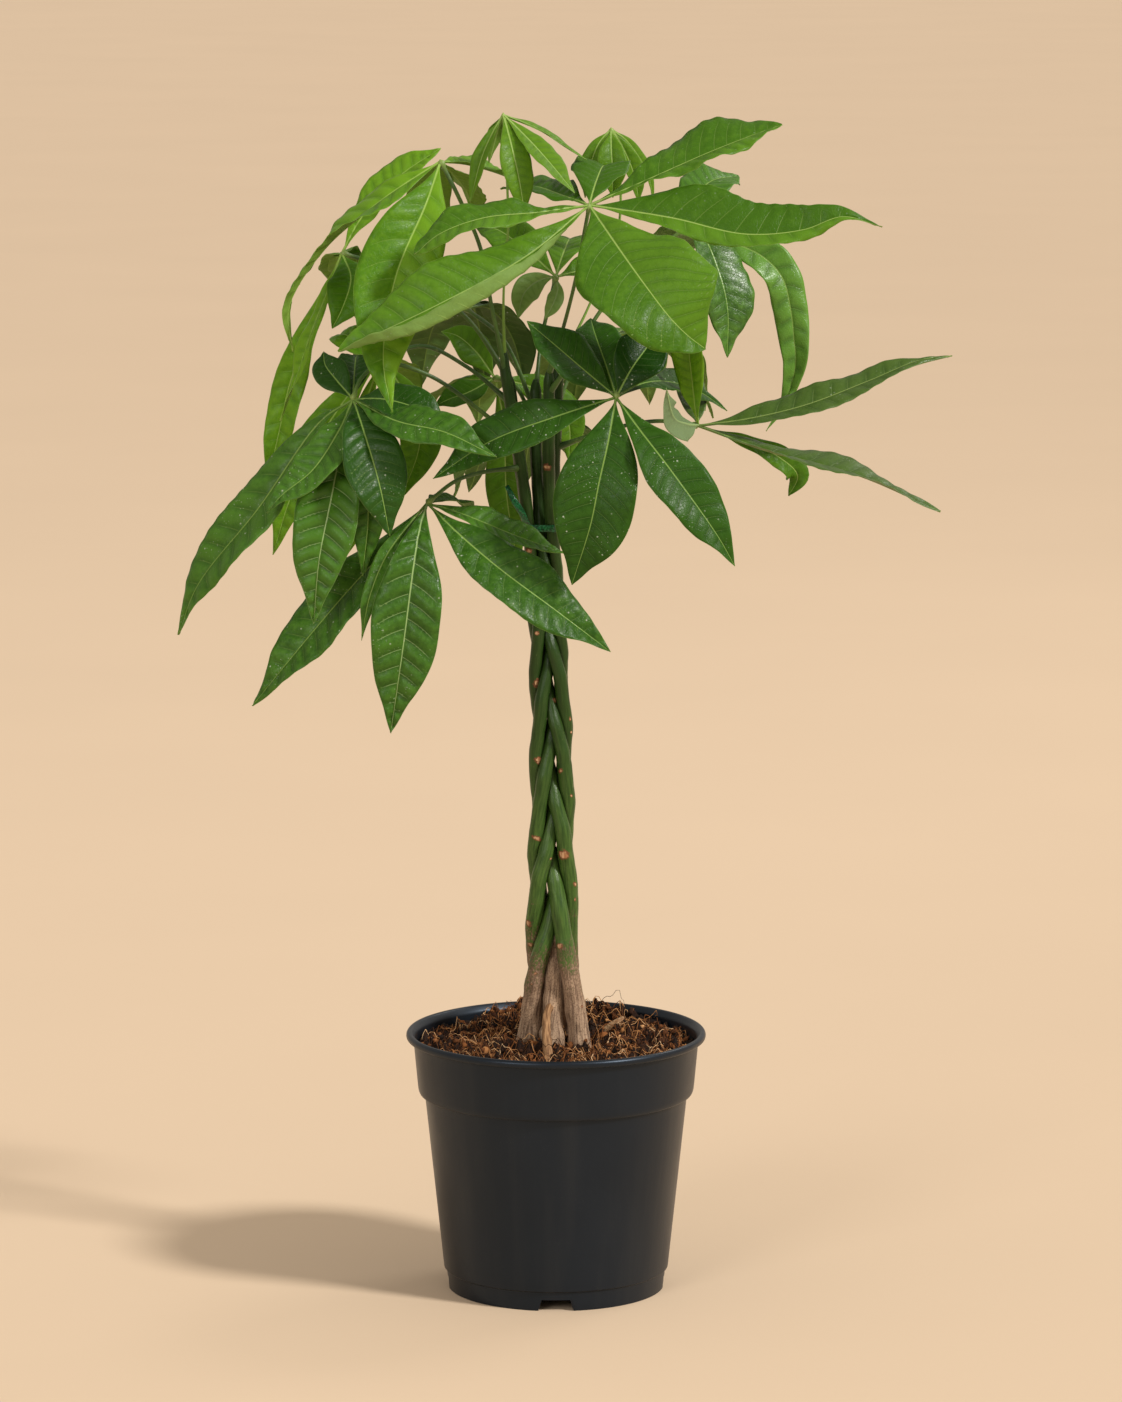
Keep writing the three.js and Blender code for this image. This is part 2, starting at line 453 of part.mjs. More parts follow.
const leaves = {
  high_front: {
    stem: 'right', at: 646, via: [[6, 680, 22], [14, 712, 36], [20, 745, 47]], meets: [23, 761, 50],
    leaflets: [
      spread(44, [0, -0.5, 1], [[60, 777, 48], [105, 797, 38], [138, 810, 28], [155, 816, 22]],
        { widest: 0.7, blunt: 0.75, uneven: -0.3 }),
      spread(42, [0, -1, 0.75], [[80, 752, 66], [130, 741, 78], [170, 744, 80], [197, 753, 80],
        [224, 746, 76]], { widest: 0.4, blunt: 1.1, uneven: -0.35 }),
      spread(84, [0.1, -1, 0.35], [[42, 733, 78], [62, 705, 104], [79, 683, 114], [91, 671, 111],
        [103, 662, 106]], { widest: 0.58, blunt: 0.78, slant: 0.11, uneven: -0.04 }),
      spread(57, [-0.2, -1, 0.75], [[-20, 726, 84], [-80, 693, 110], [-150, 660, 108]],
        { widest: 0.62, blunt: 0.85 }),
      spread(32, [-0.2, -0.7, 1], [[-10, 756, 70], [-50, 752, 84], [-80, 741, 92], [-97, 727, 92]],
        { widest: 0.68, blunt: 0.62 }),
      spread(36, [0, -0.35, 1], [[6, 767, 28], [-16, 774, -2], [-38, 772, -28]]),
      spread(40, [0, -0.3, 1], [[28, 778, 28], [33, 788, 4], [38, 780, -20]]),
    ],
  },
  high_left: {
    stem: 'left', at: 640, via: [[-44, 690, 8], [-52, 732, 12], [-66, 765, 16]], meets: [-79, 791, 16],
    leaflets: [
      spread(38, [-0.3, -1, 0.8], [[-120, 764, 26], [-159, 731, 32], [-184, 690, 34], [-181, 660, 34]],
        { twist: 100, widest: 0.38, blunt: 1.1 }),
      spread(55, [0.1, -1, 0.3], [[-89, 762, 38], [-110, 712, 62], [-119, 655, 84], [-113, 618, 98]],
        { widest: 0.44, blunt: 1.1 }),
      spread(34, [0, -0.4, 1], [[-60, 789, -14], [-32, 780, -44], [-12, 770, -62]]),
      spread(34, [0.2, -0.6, 1], [[-70, 782, -16], [-60, 768, -50], [-56, 750, -70]]),
      spread(36, [-0.2, -0.2, 1], [[-84, 780, -14], [-86, 752, -40], [-86, 726, -56]]),
    ],
  },
  young_top: {
    stem: 'left', at: 656, via: [[-36, 700, 6], [-33, 745, 14], [-34, 790, 20]],
    meets: [-36, 823, 22], thin: 0.62,
    leaflets: [
      spread(13, [-0.7, -1, 0.5], [[-49, 798, 24], [-59, 763, 24]], { fold: 25 }),
      spread(22, [0.3, -1, 0.3], [[-30, 800, 38], [-25, 777, 44], [-21, 753, 44]]),
      spread(22, [0.6, -0.8, 0.6], [[-16, 803, 36], [0, 785, 50], [13, 769, 56]]),
      spread(14, [0.7, -0.2, 0.9], [[-10, 812, 14], [8, 800, 12], [21, 792, 10]]),
      spread(15, [-0.4, 0.3, 1], [[-40, 812, 0], [-46, 790, -12]]),
      spread(15, [0, 0.8, 1], [[-34, 812, -6], [-30, 790, -24]]),
    ],
  },
  young_right: {
    stem: 'rear_right', at: 648, via: [[22, 690, -24], [42, 740, -38], [44, 780, -43]],
    meets: [38, 813, -44], thin: 0.62,
    leaflets: [
      spread(15, [-0.6, -1, 0.2], [[29, 802, -40], [23, 785, -38], [20, 766, -36]], { fold: 22 }),
      spread(20, [0, -1, 0.3], [[38, 800, -34], [39, 783, -30], [39, 766, -30]], { fold: 22 }),
      spread(15, [0.7, -1, 0.3], [[46, 800, -46], [54, 780, -50], [57, 761, -50]], { fold: 22 }),
      spread(11, [0.8, -0.6, 0.5], [[50, 803, -58], [63, 782, -68], [67, 761, -70]], { fold: 22 }),
      spread(13, [0, 0.8, 0.6], [[36, 802, -66], [32, 780, -78]], { fold: 22 }),
    ],
  },
  right_back: {
    stem: 'rear_right', at: 636, via: [[32, 690, -34], [66, 728, -52]], meets: [88, 744, -60],
    leaflets: [
      spread(38, [-0.2, -0.9, 0.9], [[92, 762, -76], [106, 777, -98], [125, 781, -124]], { widest: 0.66 }),
      spread(42, [0.5, -0.9, 0.5], [[100, 741, -44], [112, 715, -32], [118, 690, -26], [118, 656, -24]]),
      spread(27, [0.5, -1, 0.6], [[138, 728, -51], [155, 712, -47], [161, 692, -45], [164, 668, -44],
        [165, 650, -43], [158, 626, -42], [145, 605, -40]], { twist: 50, widest: 0.36, blunt: 1 }),
      spread(42, [0, -0.2, 1], [[124, 750, -88], [156, 748, -116], [180, 742, -132]]),
      spread(36, [0, 0.2, 1], [[84, 742, -92], [78, 726, -128], [74, 700, -140]]),
    ],
  },
  front: {
    stem: 'right', at: 632, via: [[14, 654, 26], [32, 652, 52], [42, 640, 74]], meets: [41.5, 628.5, 84],
    leaflets: [
      spread(36, [0.2, -1, 0.9], [[22, 645, 90], [0, 664, 92], [-20, 681, 86]]),
      spread(36, [0, -0.7, 1], [[34, 652, 72], [27, 672, 54], [24, 683, 36]]),
      spread(36, [0.3, -0.9, 0.8], [[52, 648, 80], [62, 662, 70], [74, 678, 58]]),
      spread(28, [0.2, -0.9, 0.9], [[60, 638, 58], [84, 638, 8], [103, 630, -18], [118, 619, -28]]),
      spread(40, [0.4, -1, 0.2], [[57, 607, 100], [80, 577, 118], [112, 532, 124], [124, 511, 122]]),
      spread(56, [-0.1, -1, 0.15], [[36, 597, 104], [30, 570, 114], [24, 540, 116], [11, 498, 108]]),
      spread(38, [-0.2, -1, 0.8], [[0, 615, 94], [-45, 598, 86], [-85, 572, 78]]),
    ],
  },
  right: {
    stem: 'rear_right', at: 592, via: [[36, 606, -10], [70, 612, 6]], meets: [98, 609, 20],
    leaflets: [
      spread(31, [0, -0.5, 1], [[130, 613, 24], [172, 623, 22], [216, 640, 12], [250, 654, 2],
        [273, 657, -6]], { widest: 0.38, blunt: 1.05 }),
      spread(40, [0.2, -0.15, 1], [[145, 592, 34], [210, 574, 46], [266, 549, 50]]),
      spread(18, [-0.2, -0.9, 0.6], [[130, 598, 10], [154, 587, 4], [167, 574, -2], [161, 560, -6]],
        { widest: 0.8 }),
      spread(27, [-0.4, 1, -0.6], [[90, 610, 40], [81, 615, 62], [76, 635, 78]],
        { widest: 0.45, blunt: 1.3 }),
      spread(24, [-0.5, -1, 0.1], [[95, 632, 34], [91, 668, 38], [88, 696, 34]], { fold: 24, widest: 0.6 }),
      spread(22, [0.1, -0.2, 1], [[95, 622, -14], [91, 640, -44], [90, 636, -76]]),
    ],
  },
  left: {
    stem: 'left', at: 598, via: [[-52, 619, 16], [-86, 643, 26], [-118, 652, 34], [-134, 642, 48]],
    meets: [-140, 627, 56],
    leaflets: [
      spread(24, [-0.5, -0.5, 1], [[-151, 640, 46], [-159, 651, 34], [-160, 660, 24]]),
      spread(26, [0, -0.5, 1], [[-139, 644, 36], [-138, 655, 16], [-137, 657, -6]]),
      spread(32, [0.2, -1, 0.9], [[-118, 627, 68], [-94, 620, 76], [-74, 607, 78]]),
      spread(34, [0.2, -1, 1], [[-110, 612, 88], [-76, 604, 106], [-41, 587, 114]]),
      spread(42, [0.2, -1, 0.2], [[-133, 606, 82], [-122, 568, 98], [-115, 532, 98]]),
      spread(42, [-0.3, -0.8, 0.9], [[-162, 612, 64], [-206, 551, 70], [-248, 498, 62], [-262, 463, 54]]),
      spread(34, [-0.3, -0.8, 0.8], [[-150, 605, 76], [-168, 578, 88], [-190, 560, 92], [-200, 548, 92]]),
      spread(44, [-0.2, -1, 0.1], [[-147, 600, 68], [-155, 560, 86], [-164, 515, 94], [-168, 471, 92]]),
      spread(26, [0.1, -1, 0], [[-137, 595, 62], [-130, 552, 74], [-134, 504, 76]]),
    ],
  },
  low_left: {
    stem: 'left', at: 580, via: [[-48, 577, 22], [-70, 570, 44]], meets: [-89, 555, 60],
    leaflets: [
      spread(44, [-0.4, -0.9, 0.8], [[-110, 531, 64], [-150, 487, 68], [-195, 433, 66], [-211, 413, 62]]),
      spread(47, [0, -1, 0.15], [[-94, 538, 78], [-98, 515, 90], [-106, 455, 96], [-115, 394, 88]]),
      spread(13, [-0.3, -1, 0.3], [[-99, 543, 70], [-117, 519, 82], [-129, 490, 90], [-135, 459, 88]]),
      spread(44, [0.25, -1, 0.6], [[-70, 536, 78], [-40, 510, 94], [0, 480, 102], [38, 451, 98]]),
      spread(32, [0.2, -0.55, 1], [[-64, 547, 62], [-32, 534, 62], [6, 520, 54]]),
      spread(24, [0, -0.4, 1], [[-80, 557, 38], [-66, 556, 14], [-58, 548, -4]]),
    ],
  },
  outer_left: {
    stem: 'rear_left', at: 640, via: [[-62, 684, -26], [-104, 714, -26]], meets: [-147, 728, -22],
    leaflets: [
      spread(15, [-0.6, -0.8, 0.4], [[-156, 704, -8], [-168, 674, -2], [-178, 645, -2], [-190, 612, -4]],
        { fold: 20, twist: 30 }),
      spread(24, [-0.3, -1, 0.1], [[-158, 702, -34], [-173, 668, -46], [-184, 636, -52],
        [-191, 605, -52], [-200, 566, -50]], { widest: 0.68 }),
      spread(30, [0.1, -1, 0.6], [[-141, 710, -2], [-147, 690, 8], [-154, 676, 10]]),
      spread(32, [-0.3, -0.8, 1], [[-132, 754, -34], [-108, 780, -40], [-79, 800, -44]], { widest: 0.62 }),
      spread(32, [-0.3, 0, 1], [[-148, 726, -56], [-147, 716, -84], [-145, 700, -110]]),
      spread(34, [0, 0.4, 1], [[-142, 722, -58], [-138, 706, -90], [-136, 680, -104]]),
    ],
  },
  mid_left: {
    stem: 'rear_left', at: 622, via: [[-62, 650, -22], [-92, 664, -20]], meets: [-120, 655, -16],
    leaflets: [
      spread(32, [-0.2, -1, 0.3], [[-143, 630, -14], [-163, 600, -12], [-183, 560, -10], [-196, 519, -10]]),
      spread(28, [0.1, -1, 0], [[-132, 620, -28], [-138, 560, -34], [-154, 503, -34]]),
      spread(30, [0.2, -1, 0.4], [[-106, 634, -6], [-94, 600, 2], [-107, 558, 4]]),
      spread(28, [-0.2, -0.5, 1], [[-134, 664, -30], [-146, 672, -44], [-152, 668, -60]]),
      spread(32, [0, 0.3, 1], [[-114, 652, -52], [-106, 636, -84], [-102, 606, -98]]),
    ],
  },
  inner_low: {
    stem: 'middle', at: 606, via: [[-28, 636, -34]], meets: [-42, 642, -48],
    leaflets: [
      spread(28, [0, -1, 0.1], [[-36, 612, -54], [-34, 560, -60], [-25, 505, -58]]),
      spread(24, [-0.2, -1, 0.7], [[-55, 660, -46], [-68, 671, -46], [-79, 674, -46]]),
      spread(26, [-0.2, -0.8, 1], [[-60, 632, -38], [-74, 627, -36], [-84, 622, -36]]),
      spread(28, [0.2, -1, 0.4], [[-14, 634, -58], [8, 612, -64], [9, 584, -64]]),
      spread(30, [0, 0.4, 1], [[-46, 640, -76], [-52, 630, -96], [-54, 610, -104]]),
      spread(28, [-0.3, 0, 1], [[-64, 640, -72], [-84, 626, -88], [-92, 600, -92]]),
    ],
  },
  inner_high: {
    stem: 'middle', at: 628, via: [[-10, 668, -40]], meets: [0, 712, -50],
    leaflets: [
      spread(19, [0.1, -1, 0.2], [[-12, 709, -44], [-22, 700, -38], [-26, 683, -34]]),
      spread(34, [-0.2, -0.7, 1], [[-18, 728, -60], [-40, 744, -72], [-58, 748, -84]]),
      spread(12, [0.3, -1, 0.2], [[1, 702, -46], [-2, 693, -42], [-8, 682, -40]]),
      spread(34, [0, 0, 1], [[6, 730, -76], [10, 738, -104], [12, 728, -130]]),
      spread(36, [0.4, -0.4, 1], [[26, 716, -72], [50, 706, -86], [66, 690, -92]]),
    ],
  },
  rear_right: {
    stem: 'rear_right', at: 616, via: [[14, 652, -54]], meets: rearRight,
    leaflets: fan(rearRight, { heading: 76, open: 130, reach: 116, droop: 64, width: 44, count: 5 }),
  },
  rear_left: {
    stem: 'middle', at: 616, via: [[-36, 668, -58]], meets: rearLeft,
    leaflets: fan(rearLeft, { heading: 121, open: 128, reach: 126, droop: 70, width: 44, count: 6 }),
  },
  rear_low: {
    stem: 'middle', at: 576, via: [[-14, 596, -60]], meets: rearLow,
    leaflets: fan(rearLow, { heading: 98, open: 116, reach: 116, droop: 56, width: 44, count: 5 }),
  },
};

const plant = new THREE.Group();
plant.add(piece('pot', makePot(), looks.pot));

// The holes in the soil are a gap wider than what stands in them, and a gap deeper.
let ground = makeSoil().subtract(makeChip(2 * gap).translate([-gap, 0, -gap]));
let bundle = null;
for (const name of stemNames) {
  plant.add(piece(`stem_${name}`, makeStem(name), looks.bark));
  ground = ground.subtract(makeStem(name, gap).translate([0, 0, -gap]));
  bundle = bundle ? bundle.add(makeStem(name, gap)) : makeStem(name, gap);
}
plant.add(piece('soil', ground, looks.soil));
plant.add(piece('twist_tie', makeTie(bundle), looks.tie));
plant.add(piece('bark_chip', makeChip(0), looks.wood));

for (const [name, leaf] of Object.entries(leaves)) {
  const look = name.startsWith('young') ? looks.youngLeaf : looks.leaf;
  plant.add(piece(`leaf_${name}`, makeLeaf(leaf), look));
}

export default plant;
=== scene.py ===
# A money tree in its nursery pot: plaited trunks, palmate leaves, coir. Metres, +Z up, front at -Y.
import math
import bpy
import numpy as np
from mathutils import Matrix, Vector


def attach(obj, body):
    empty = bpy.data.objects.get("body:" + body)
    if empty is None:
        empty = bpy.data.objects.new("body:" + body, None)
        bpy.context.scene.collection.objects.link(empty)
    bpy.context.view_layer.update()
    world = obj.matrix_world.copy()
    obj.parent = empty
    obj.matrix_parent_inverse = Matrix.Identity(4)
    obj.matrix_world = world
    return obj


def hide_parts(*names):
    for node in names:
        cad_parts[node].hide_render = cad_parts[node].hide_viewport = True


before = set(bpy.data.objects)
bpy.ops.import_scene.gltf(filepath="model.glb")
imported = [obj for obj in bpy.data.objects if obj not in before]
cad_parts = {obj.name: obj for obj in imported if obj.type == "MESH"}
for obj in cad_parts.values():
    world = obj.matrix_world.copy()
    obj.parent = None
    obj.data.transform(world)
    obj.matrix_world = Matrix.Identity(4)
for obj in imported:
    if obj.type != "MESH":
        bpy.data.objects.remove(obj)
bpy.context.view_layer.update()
mm = 0.001
fullTurn = 2 * math.pi

# The plant is laid out as it is seen from the front: across and up are where a point shows on the
# upright plane through the pot's axis, and forward is how far it stands in front of that plane.
eye = {"across": 3.5, "distance": 4100, "up": 1060, "pitch": 8.92, "focal": 5970, "frameHeight": 1402}


def stacked(*parts):
    # points from their parts, which may be grids, rows or single numbers
    return np.stack(np.broadcast_arrays(*parts), axis=-1)


def seen(spots):
    # millimetres in, metres out: a spot moves towards the eye by its forward value
    across, up, forward = np.moveaxis(np.asarray(spots, float), -1, 0)
    nearer = forward / eye["distance"]
    return mm * stacked(across + (eye["across"] - across) * nearer, -forward, up + (eye["up"] - up) * nearer)


def unit(vectors):
    # each vector divided by its own length
    return vectors / np.maximum(np.linalg.norm(vectors, axis=-1, keepdims=True), 1e-12)


def circle(count):
    # angles spread evenly round a circle, and the unit vectors that point to them
    angle = np.linspace(0, fullTurn, count, endpoint=False)
    return angle, stacked(np.cos(angle), np.sin(angle))


def smoothStep(value, low, high):
    # 0 up to low, 1 from high, and an S curve between
    share = np.clip((value - low) / (high - low), 0, 1)
    return share * share * (3 - 2 * share)


def bell(*parts):
    # 1 where all parts are 0, and it falls off as they grow
    return np.exp(-sum(part ** 2 for part in parts))


def smoothCurve(spots, samples=48):
    # a centripetal Catmull-Rom curve through the spots: its points, and how far along it each one is
    spots = np.asarray(spots, float)
    wide = np.concatenate([[2 * spots[0] - spots[1]], spots, [2 * spots[-1] - spots[-2]]])
    gaps = np.sqrt(np.linalg.norm(np.diff(wide, axis=0), axis=1))
    step = np.linspace(0, 1, samples, endpoint=False)[:, None]
    spans = []
    for i in range(len(spots) - 1):
        a, b, c, d = wide[i:i + 4]
        before, here, after = gaps[i:i + 3]
        leave = ((b - a) / before - (c - a) / (before + here) + (c - b) / here) * here
        arrive = ((c - b) / here - (d - b) / (here + after) + (d - c) / after) * here
        spans.append(b + leave * step + (3 * (c - b) - 2 * leave - arrive) * step ** 2
                     + (2 * (b - c) + leave + arrive) * step ** 3)
    line = np.concatenate([*spans, spots[-1:]])
    return line, np.concatenate([[0], np.cumsum(np.linalg.norm(np.diff(line, axis=0), axis=1))])


def alongCurve(curve, shares):
    # the points of a curve at shares of its length
    line, run = curve
    return np.stack([np.interp(shares * run[-1], run, line[:, k]) for k in range(3)], axis=1)


def rounded(line, window, mode):
    # a line of numbers averaged over a window, which rounds its corners
    soft = np.hanning(window)
    return np.convolve(np.pad(line, window // 2, mode=mode), soft / soft.sum(), mode="valid")


def ripple(spots, size, seed, waves=20):
    # smooth noise about -1 to 1: sine waves of about the given size that run in random directions
    rng = np.random.default_rng(seed)
    ways = unit(rng.normal(size=(waves, 3))) * rng.uniform(0.7, 1.5, (waves, 1)) * fullTurn / size
    return np.sin(spots @ ways.T + rng.uniform(0, fullTurn, waves)).sum(axis=-1) * math.sqrt(1.2 / waves)


def tubeRings(centre, radius, sides, start=(0.31, 0.17, 0.93)):
    # circles square to a path, or to each of many: radius has a row for each ring and a column for each
    # side, or one column for all sides
    tangent = unit(np.gradient(centre, axis=-2))
    side = unit(np.cross(tangent, start))
    other = np.cross(tangent, side)
    angle, _ = circle(sides)
    way = side[..., None, :] * np.cos(angle)[:, None] + other[..., None, :] * np.sin(angle)[:, None]
    return centre[..., None, :] + way * radius[..., None]


def tubeFaces(count, rows, cols):
    # quads of `count` closed tubes of rows x cols points each, and one face at each of their ends
    row, col = np.meshgrid(np.arange(rows - 1), np.arange(cols), indexing="ij")
    a = row * cols + col
    b = row * cols + (col + 1) % cols
    quads = np.stack([a, b, b + cols, a + cols], axis=-1).reshape(-1, 4)
    caps = np.stack([np.arange(cols)[::-1], (rows - 1) * cols + np.arange(cols)])
    starts = np.arange(count)[:, None, None] * rows * cols
    return (starts + quads).reshape(-1, 4), (starts + caps).reshape(-1, cols)


def outward(points, quads):
    # signed volume of a closed tube: above zero where its faces point outwards
    a, b, c, d = (points[quads[:, k]] for k in range(4))
    return (np.einsum("ij,ij->i", a, np.cross(b, c)) + np.einsum("ij,ij->i", a, np.cross(c, d))).sum() > 0


def addObject(name, data):
    # a new object with this data, put in the scene
    made = bpy.data.objects.new(name, data)
    bpy.context.scene.collection.objects.link(made)
    return made


class Build:
    # collects closed tubes with their values and material numbers, and makes them one object
    def __init__(self, name):
        self.name, self.size = name, 0
        self.points, self.faces, self.finish, self.values = [], [], [], {}

    def add(self, rings, finish=0, **values):
        # rings: (rows, cols, 3) of one tube or (count, rows, cols, 3) of many alike; a value has 3 parts
        rings = rings[None] if rings.ndim == 3 else rings
        count, rows, cols, _ = rings.shape
        quads, caps = tubeFaces(count, rows, cols)
        flat = rings.reshape(-1, 3)
        if not outward(flat - flat[0], quads[:(rows - 1) * cols]):
            quads, caps = quads[:, ::-1], caps[:, ::-1]
        self.faces += (quads + self.size).tolist() + (caps + self.size).tolist()
        self.finish += [finish] * (len(quads) + len(caps))
        self.points.append(flat)
        for key, value in values.items():
            full = np.broadcast_to(value, (count, rows, cols, 3)).reshape(-1, 3)
            self.values.setdefault(key, []).append((self.size, full))
        self.size += len(flat)

    def mesh(self):
        # all tubes in one mesh
        made = bpy.data.meshes.new(self.name)
        made.from_pydata(np.concatenate(self.points).tolist(), [], self.faces)
        return made

    def finished(self, materials, node):
        # one smooth object with the values as attributes; it stands in for a solid of the part
        mesh = self.mesh()
        for key, parts in self.values.items():
            whole = np.zeros((self.size, 3))
            for first, part in parts:
                whole[first:first + len(part)] = part
            layer = mesh.attributes.new(key, "FLOAT_VECTOR", "POINT")
            layer.data.foreach_set("vector", whole.astype(np.float32).ravel())
        for material in materials:
            mesh.materials.append(material)
        mesh.polygons.foreach_set("material_index", self.finish)
        mesh.polygons.foreach_set("use_smooth", [True] * len(self.faces))
        mesh.update()
        made = addObject(self.name, mesh)
        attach(made, "root")
        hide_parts(node)
        return made


# materials

def addNode(tree, kind, inputs, **settings):
    # inputs: what each socket is fed, a signal or a plain value
    made = tree.nodes.new("ShaderNode" + kind)
    for key, value in settings.items():
        setattr(made, key, value)
    for key, value in inputs.items():
        if isinstance(value, Signal):
            tree.links.new(value.socket, made.inputs[key])
        else:
            made.inputs[key].default_value = value
    return made


class Signal:
    # one value or colour in a material: a sum or product of signals adds the node that works it out
    def __init__(self, socket):
        self.socket, self.tree = socket, socket.id_data

    def maths(self, operation, other, swapped=False, clamp=False):
        # one Math node; swapped puts the other value first, and clamp keeps the result from 0 to 1
        values = (other, self) if swapped else (self, other)
        made = addNode(self.tree, "Math", dict(enumerate(values)), operation=operation, use_clamp=clamp)
        return Signal(made.outputs[0])

    def __add__(self, other):
        return self.maths("ADD", other)

    def __sub__(self, other):
        return self.maths("SUBTRACT", other)

    def __rsub__(self, other):
        return self.maths("SUBTRACT", other, swapped=True)

    def __mul__(self, other):
        return self.maths("MULTIPLY", other)

    def remap(self, low, high, start=0.0, end=1.0):
        # goes from start to end in an S curve while the signal goes from low to high
        inputs = {0: self, 1: low, 2: high, 3: start, 4: end}
        return Signal(addNode(self.tree, "MapRange", inputs, interpolation_type="SMOOTHSTEP").outputs[0])

    def parts(self):
        # its three parts, each a signal of its own
        return [Signal(part) for part in addNode(self.tree, "SeparateXYZ", {0: self}).outputs]


def blend(share, first, second, kind="MIX"):
    # two colours mixed by a signal; a plain colour has three parts
    first, second = (value if isinstance(value, Signal) else (*value, 1) for value in (first, second))
    made = addNode(share.tree, "Mix", {0: share, 6: first, 7: second}, data_type="RGBA", blend_type=kind)
    return Signal(made.outputs[2])


def shaded(colour, share):
    # a colour times a share, darker below 1
    return tuple(share * part for part in colour)


class Paint:
    # a material in the making, with the patterns that it is painted from
    def __init__(self, name):
        self.material = bpy.data.materials.new(name)
        self.material.use_nodes = True
        self.tree = self.material.node_tree
        self.shader = self.tree.nodes["Principled BSDF"]
        self.place = self.pattern("TexCoord", {}, "Object")

    def pattern(self, kind, inputs, output=0, **settings):
        # a node of this kind, and the output that is used
        return Signal(addNode(self.tree, kind, inputs, **settings).outputs[output])

    def noise(self, scale, detail=4, stretch=None, place=None):
        # cloudy noise; stretch scales each direction by its own number first
        place = place or self.place
        if stretch:
            place = self.pattern("Mapping", {"Vector": place, "Scale": stretch})
        inputs = {"Vector": place, "Scale": scale, "Detail": detail, "Roughness": 0.55}
        return self.pattern("TexNoise", inputs)

    def cells(self, scale, feature="F1"):
        # how far each spot is from its cell's middle, or from the cell's edge
        return self.pattern("TexVoronoi", {"Vector": self.place, "Scale": scale}, feature=feature)

    def attribute(self, key):
        # a value that the mesh carries
        return self.pattern("Attribute", {}, "Vector", attribute_name=key)

    def feed(self, socket, value):
        # a signal or a plain value into one of the shader's sockets
        if isinstance(value, Signal):
            self.tree.links.new(value.socket, self.shader.inputs[socket])
        else:
            self.shader.inputs[socket].default_value = value

    def finish(self, colour, rough, specular=0.5):
        # what every material has: colour, roughness and gloss
        self.feed("Base Color", colour)
        self.feed("Roughness", rough)
        self.shader.inputs["Specular IOR Level"].default_value = specular

    def bump(self, height, strength, distance, under=None):
        # small relief from a height, on top of the relief given as under
        inputs = {"Height": height, "Strength": strength, "Distance": distance}
        if under:
            inputs["Normal"] = under
        made = self.pattern("Bump", inputs)
        self.feed("Normal", made)
        return made


# camera, light and floor

stage = {
    "sensor": 36, "farthest": 100, "floor": (0.69, 0.53, 0.375), "floorReach": 30,
    "air": (1.0, 0.90, 0.78), "airStrength": 0.5,
    # the main light: where it stands, its spread in degrees, its strength and colour
    "sun": ((4.6, -2.9, 4.3), 9, 2.8, (1.0, 0.97, 0.92)),
    # soft boxes: where each stands, where it points, width and height, watts, colour
    "lights": [
        ((-2.6, -4.4, 2.4), (0, 0, 0.55), 1.8, 1.8, 72, (1.0, 0.98, 0.94)),
        ((2.6, 2.4, 3.2), (0, 0, 0.6), 1.6, 1.0, 26, (1.0, 0.97, 0.92)),
    ],
}


def addLamp(name, kind, spot, aim, **settings):
    # a lamp that stands at a spot and points at an aim
    lamp = bpy.data.lights.new(name, kind)
    for key, value in settings.items():
        setattr(lamp, key, value)
    placed = addObject(name, lamp)
    placed.location = spot
    placed.rotation_euler = (Vector(aim) - Vector(spot)).to_track_quat("-Z", "Y").to_euler()


def makeFloor():
    # one square, far wider than the view, with faint patches
    reach = stage["floorReach"]
    corners = [(-reach, -reach, 0), (reach, -reach, 0), (reach, reach, 0), (-reach, reach, 0)]
    mesh = bpy.data.meshes.new("floor")
    mesh.from_pydata(corners, [], [(0, 1, 2, 3)])
    paint = Paint("paleFloor")
    patches = paint.noise(1.6, 3)
    paint.finish(blend(patches, shaded(stage["floor"], 0.97), shaded(stage["floor"], 1.03)), 0.9)
    paint.bump(paint.noise(220, 3), 0.08, 0.001)
    mesh.materials.append(paint.material)
    floor = addObject("floor", mesh)


def makeStage():
    # the lens has the photograph's angle: focal length over frame height, times the sensor's height
    view = bpy.data.cameras.new("camera")
    view.sensor_width = stage["sensor"]
    view.lens = eye["focal"] / eye["frameHeight"] * stage["sensor"]
    view.clip_end = stage["farthest"]
    camera = addObject("camera", view)
    camera.location = (eye["across"] * mm, -eye["distance"] * mm, eye["up"] * mm)
    camera.rotation_euler = (math.radians(90 - eye["pitch"]), 0, 0)
    bpy.context.scene.camera = camera
    makeFloor()
    spot, degrees, strength, colour = stage["sun"]
    addLamp("mainLight", "SUN", spot, (0, 0, 0), angle=math.radians(degrees), energy=strength, color=colour)
    for spot, aim, wide, high, watts, colour in stage["lights"]:
        addLamp("light", "AREA", spot, aim, shape="RECTANGLE", size=wide, size_y=high, energy=watts,
                color=colour)
    world = bpy.data.worlds.new("air")
    world.use_nodes = True
    air = world.node_tree.nodes["Background"]
    air.inputs["Color"].default_value = (*stage["air"], 1)
    air.inputs["Strength"].default_value = stage["airStrength"]
    bpy.context.scene.world = world
    bpy.context.scene.view_settings.view_transform = "Standard"  # plain colours, as a product photograph has


makeStage()
print("camera, light and floor")


# pot

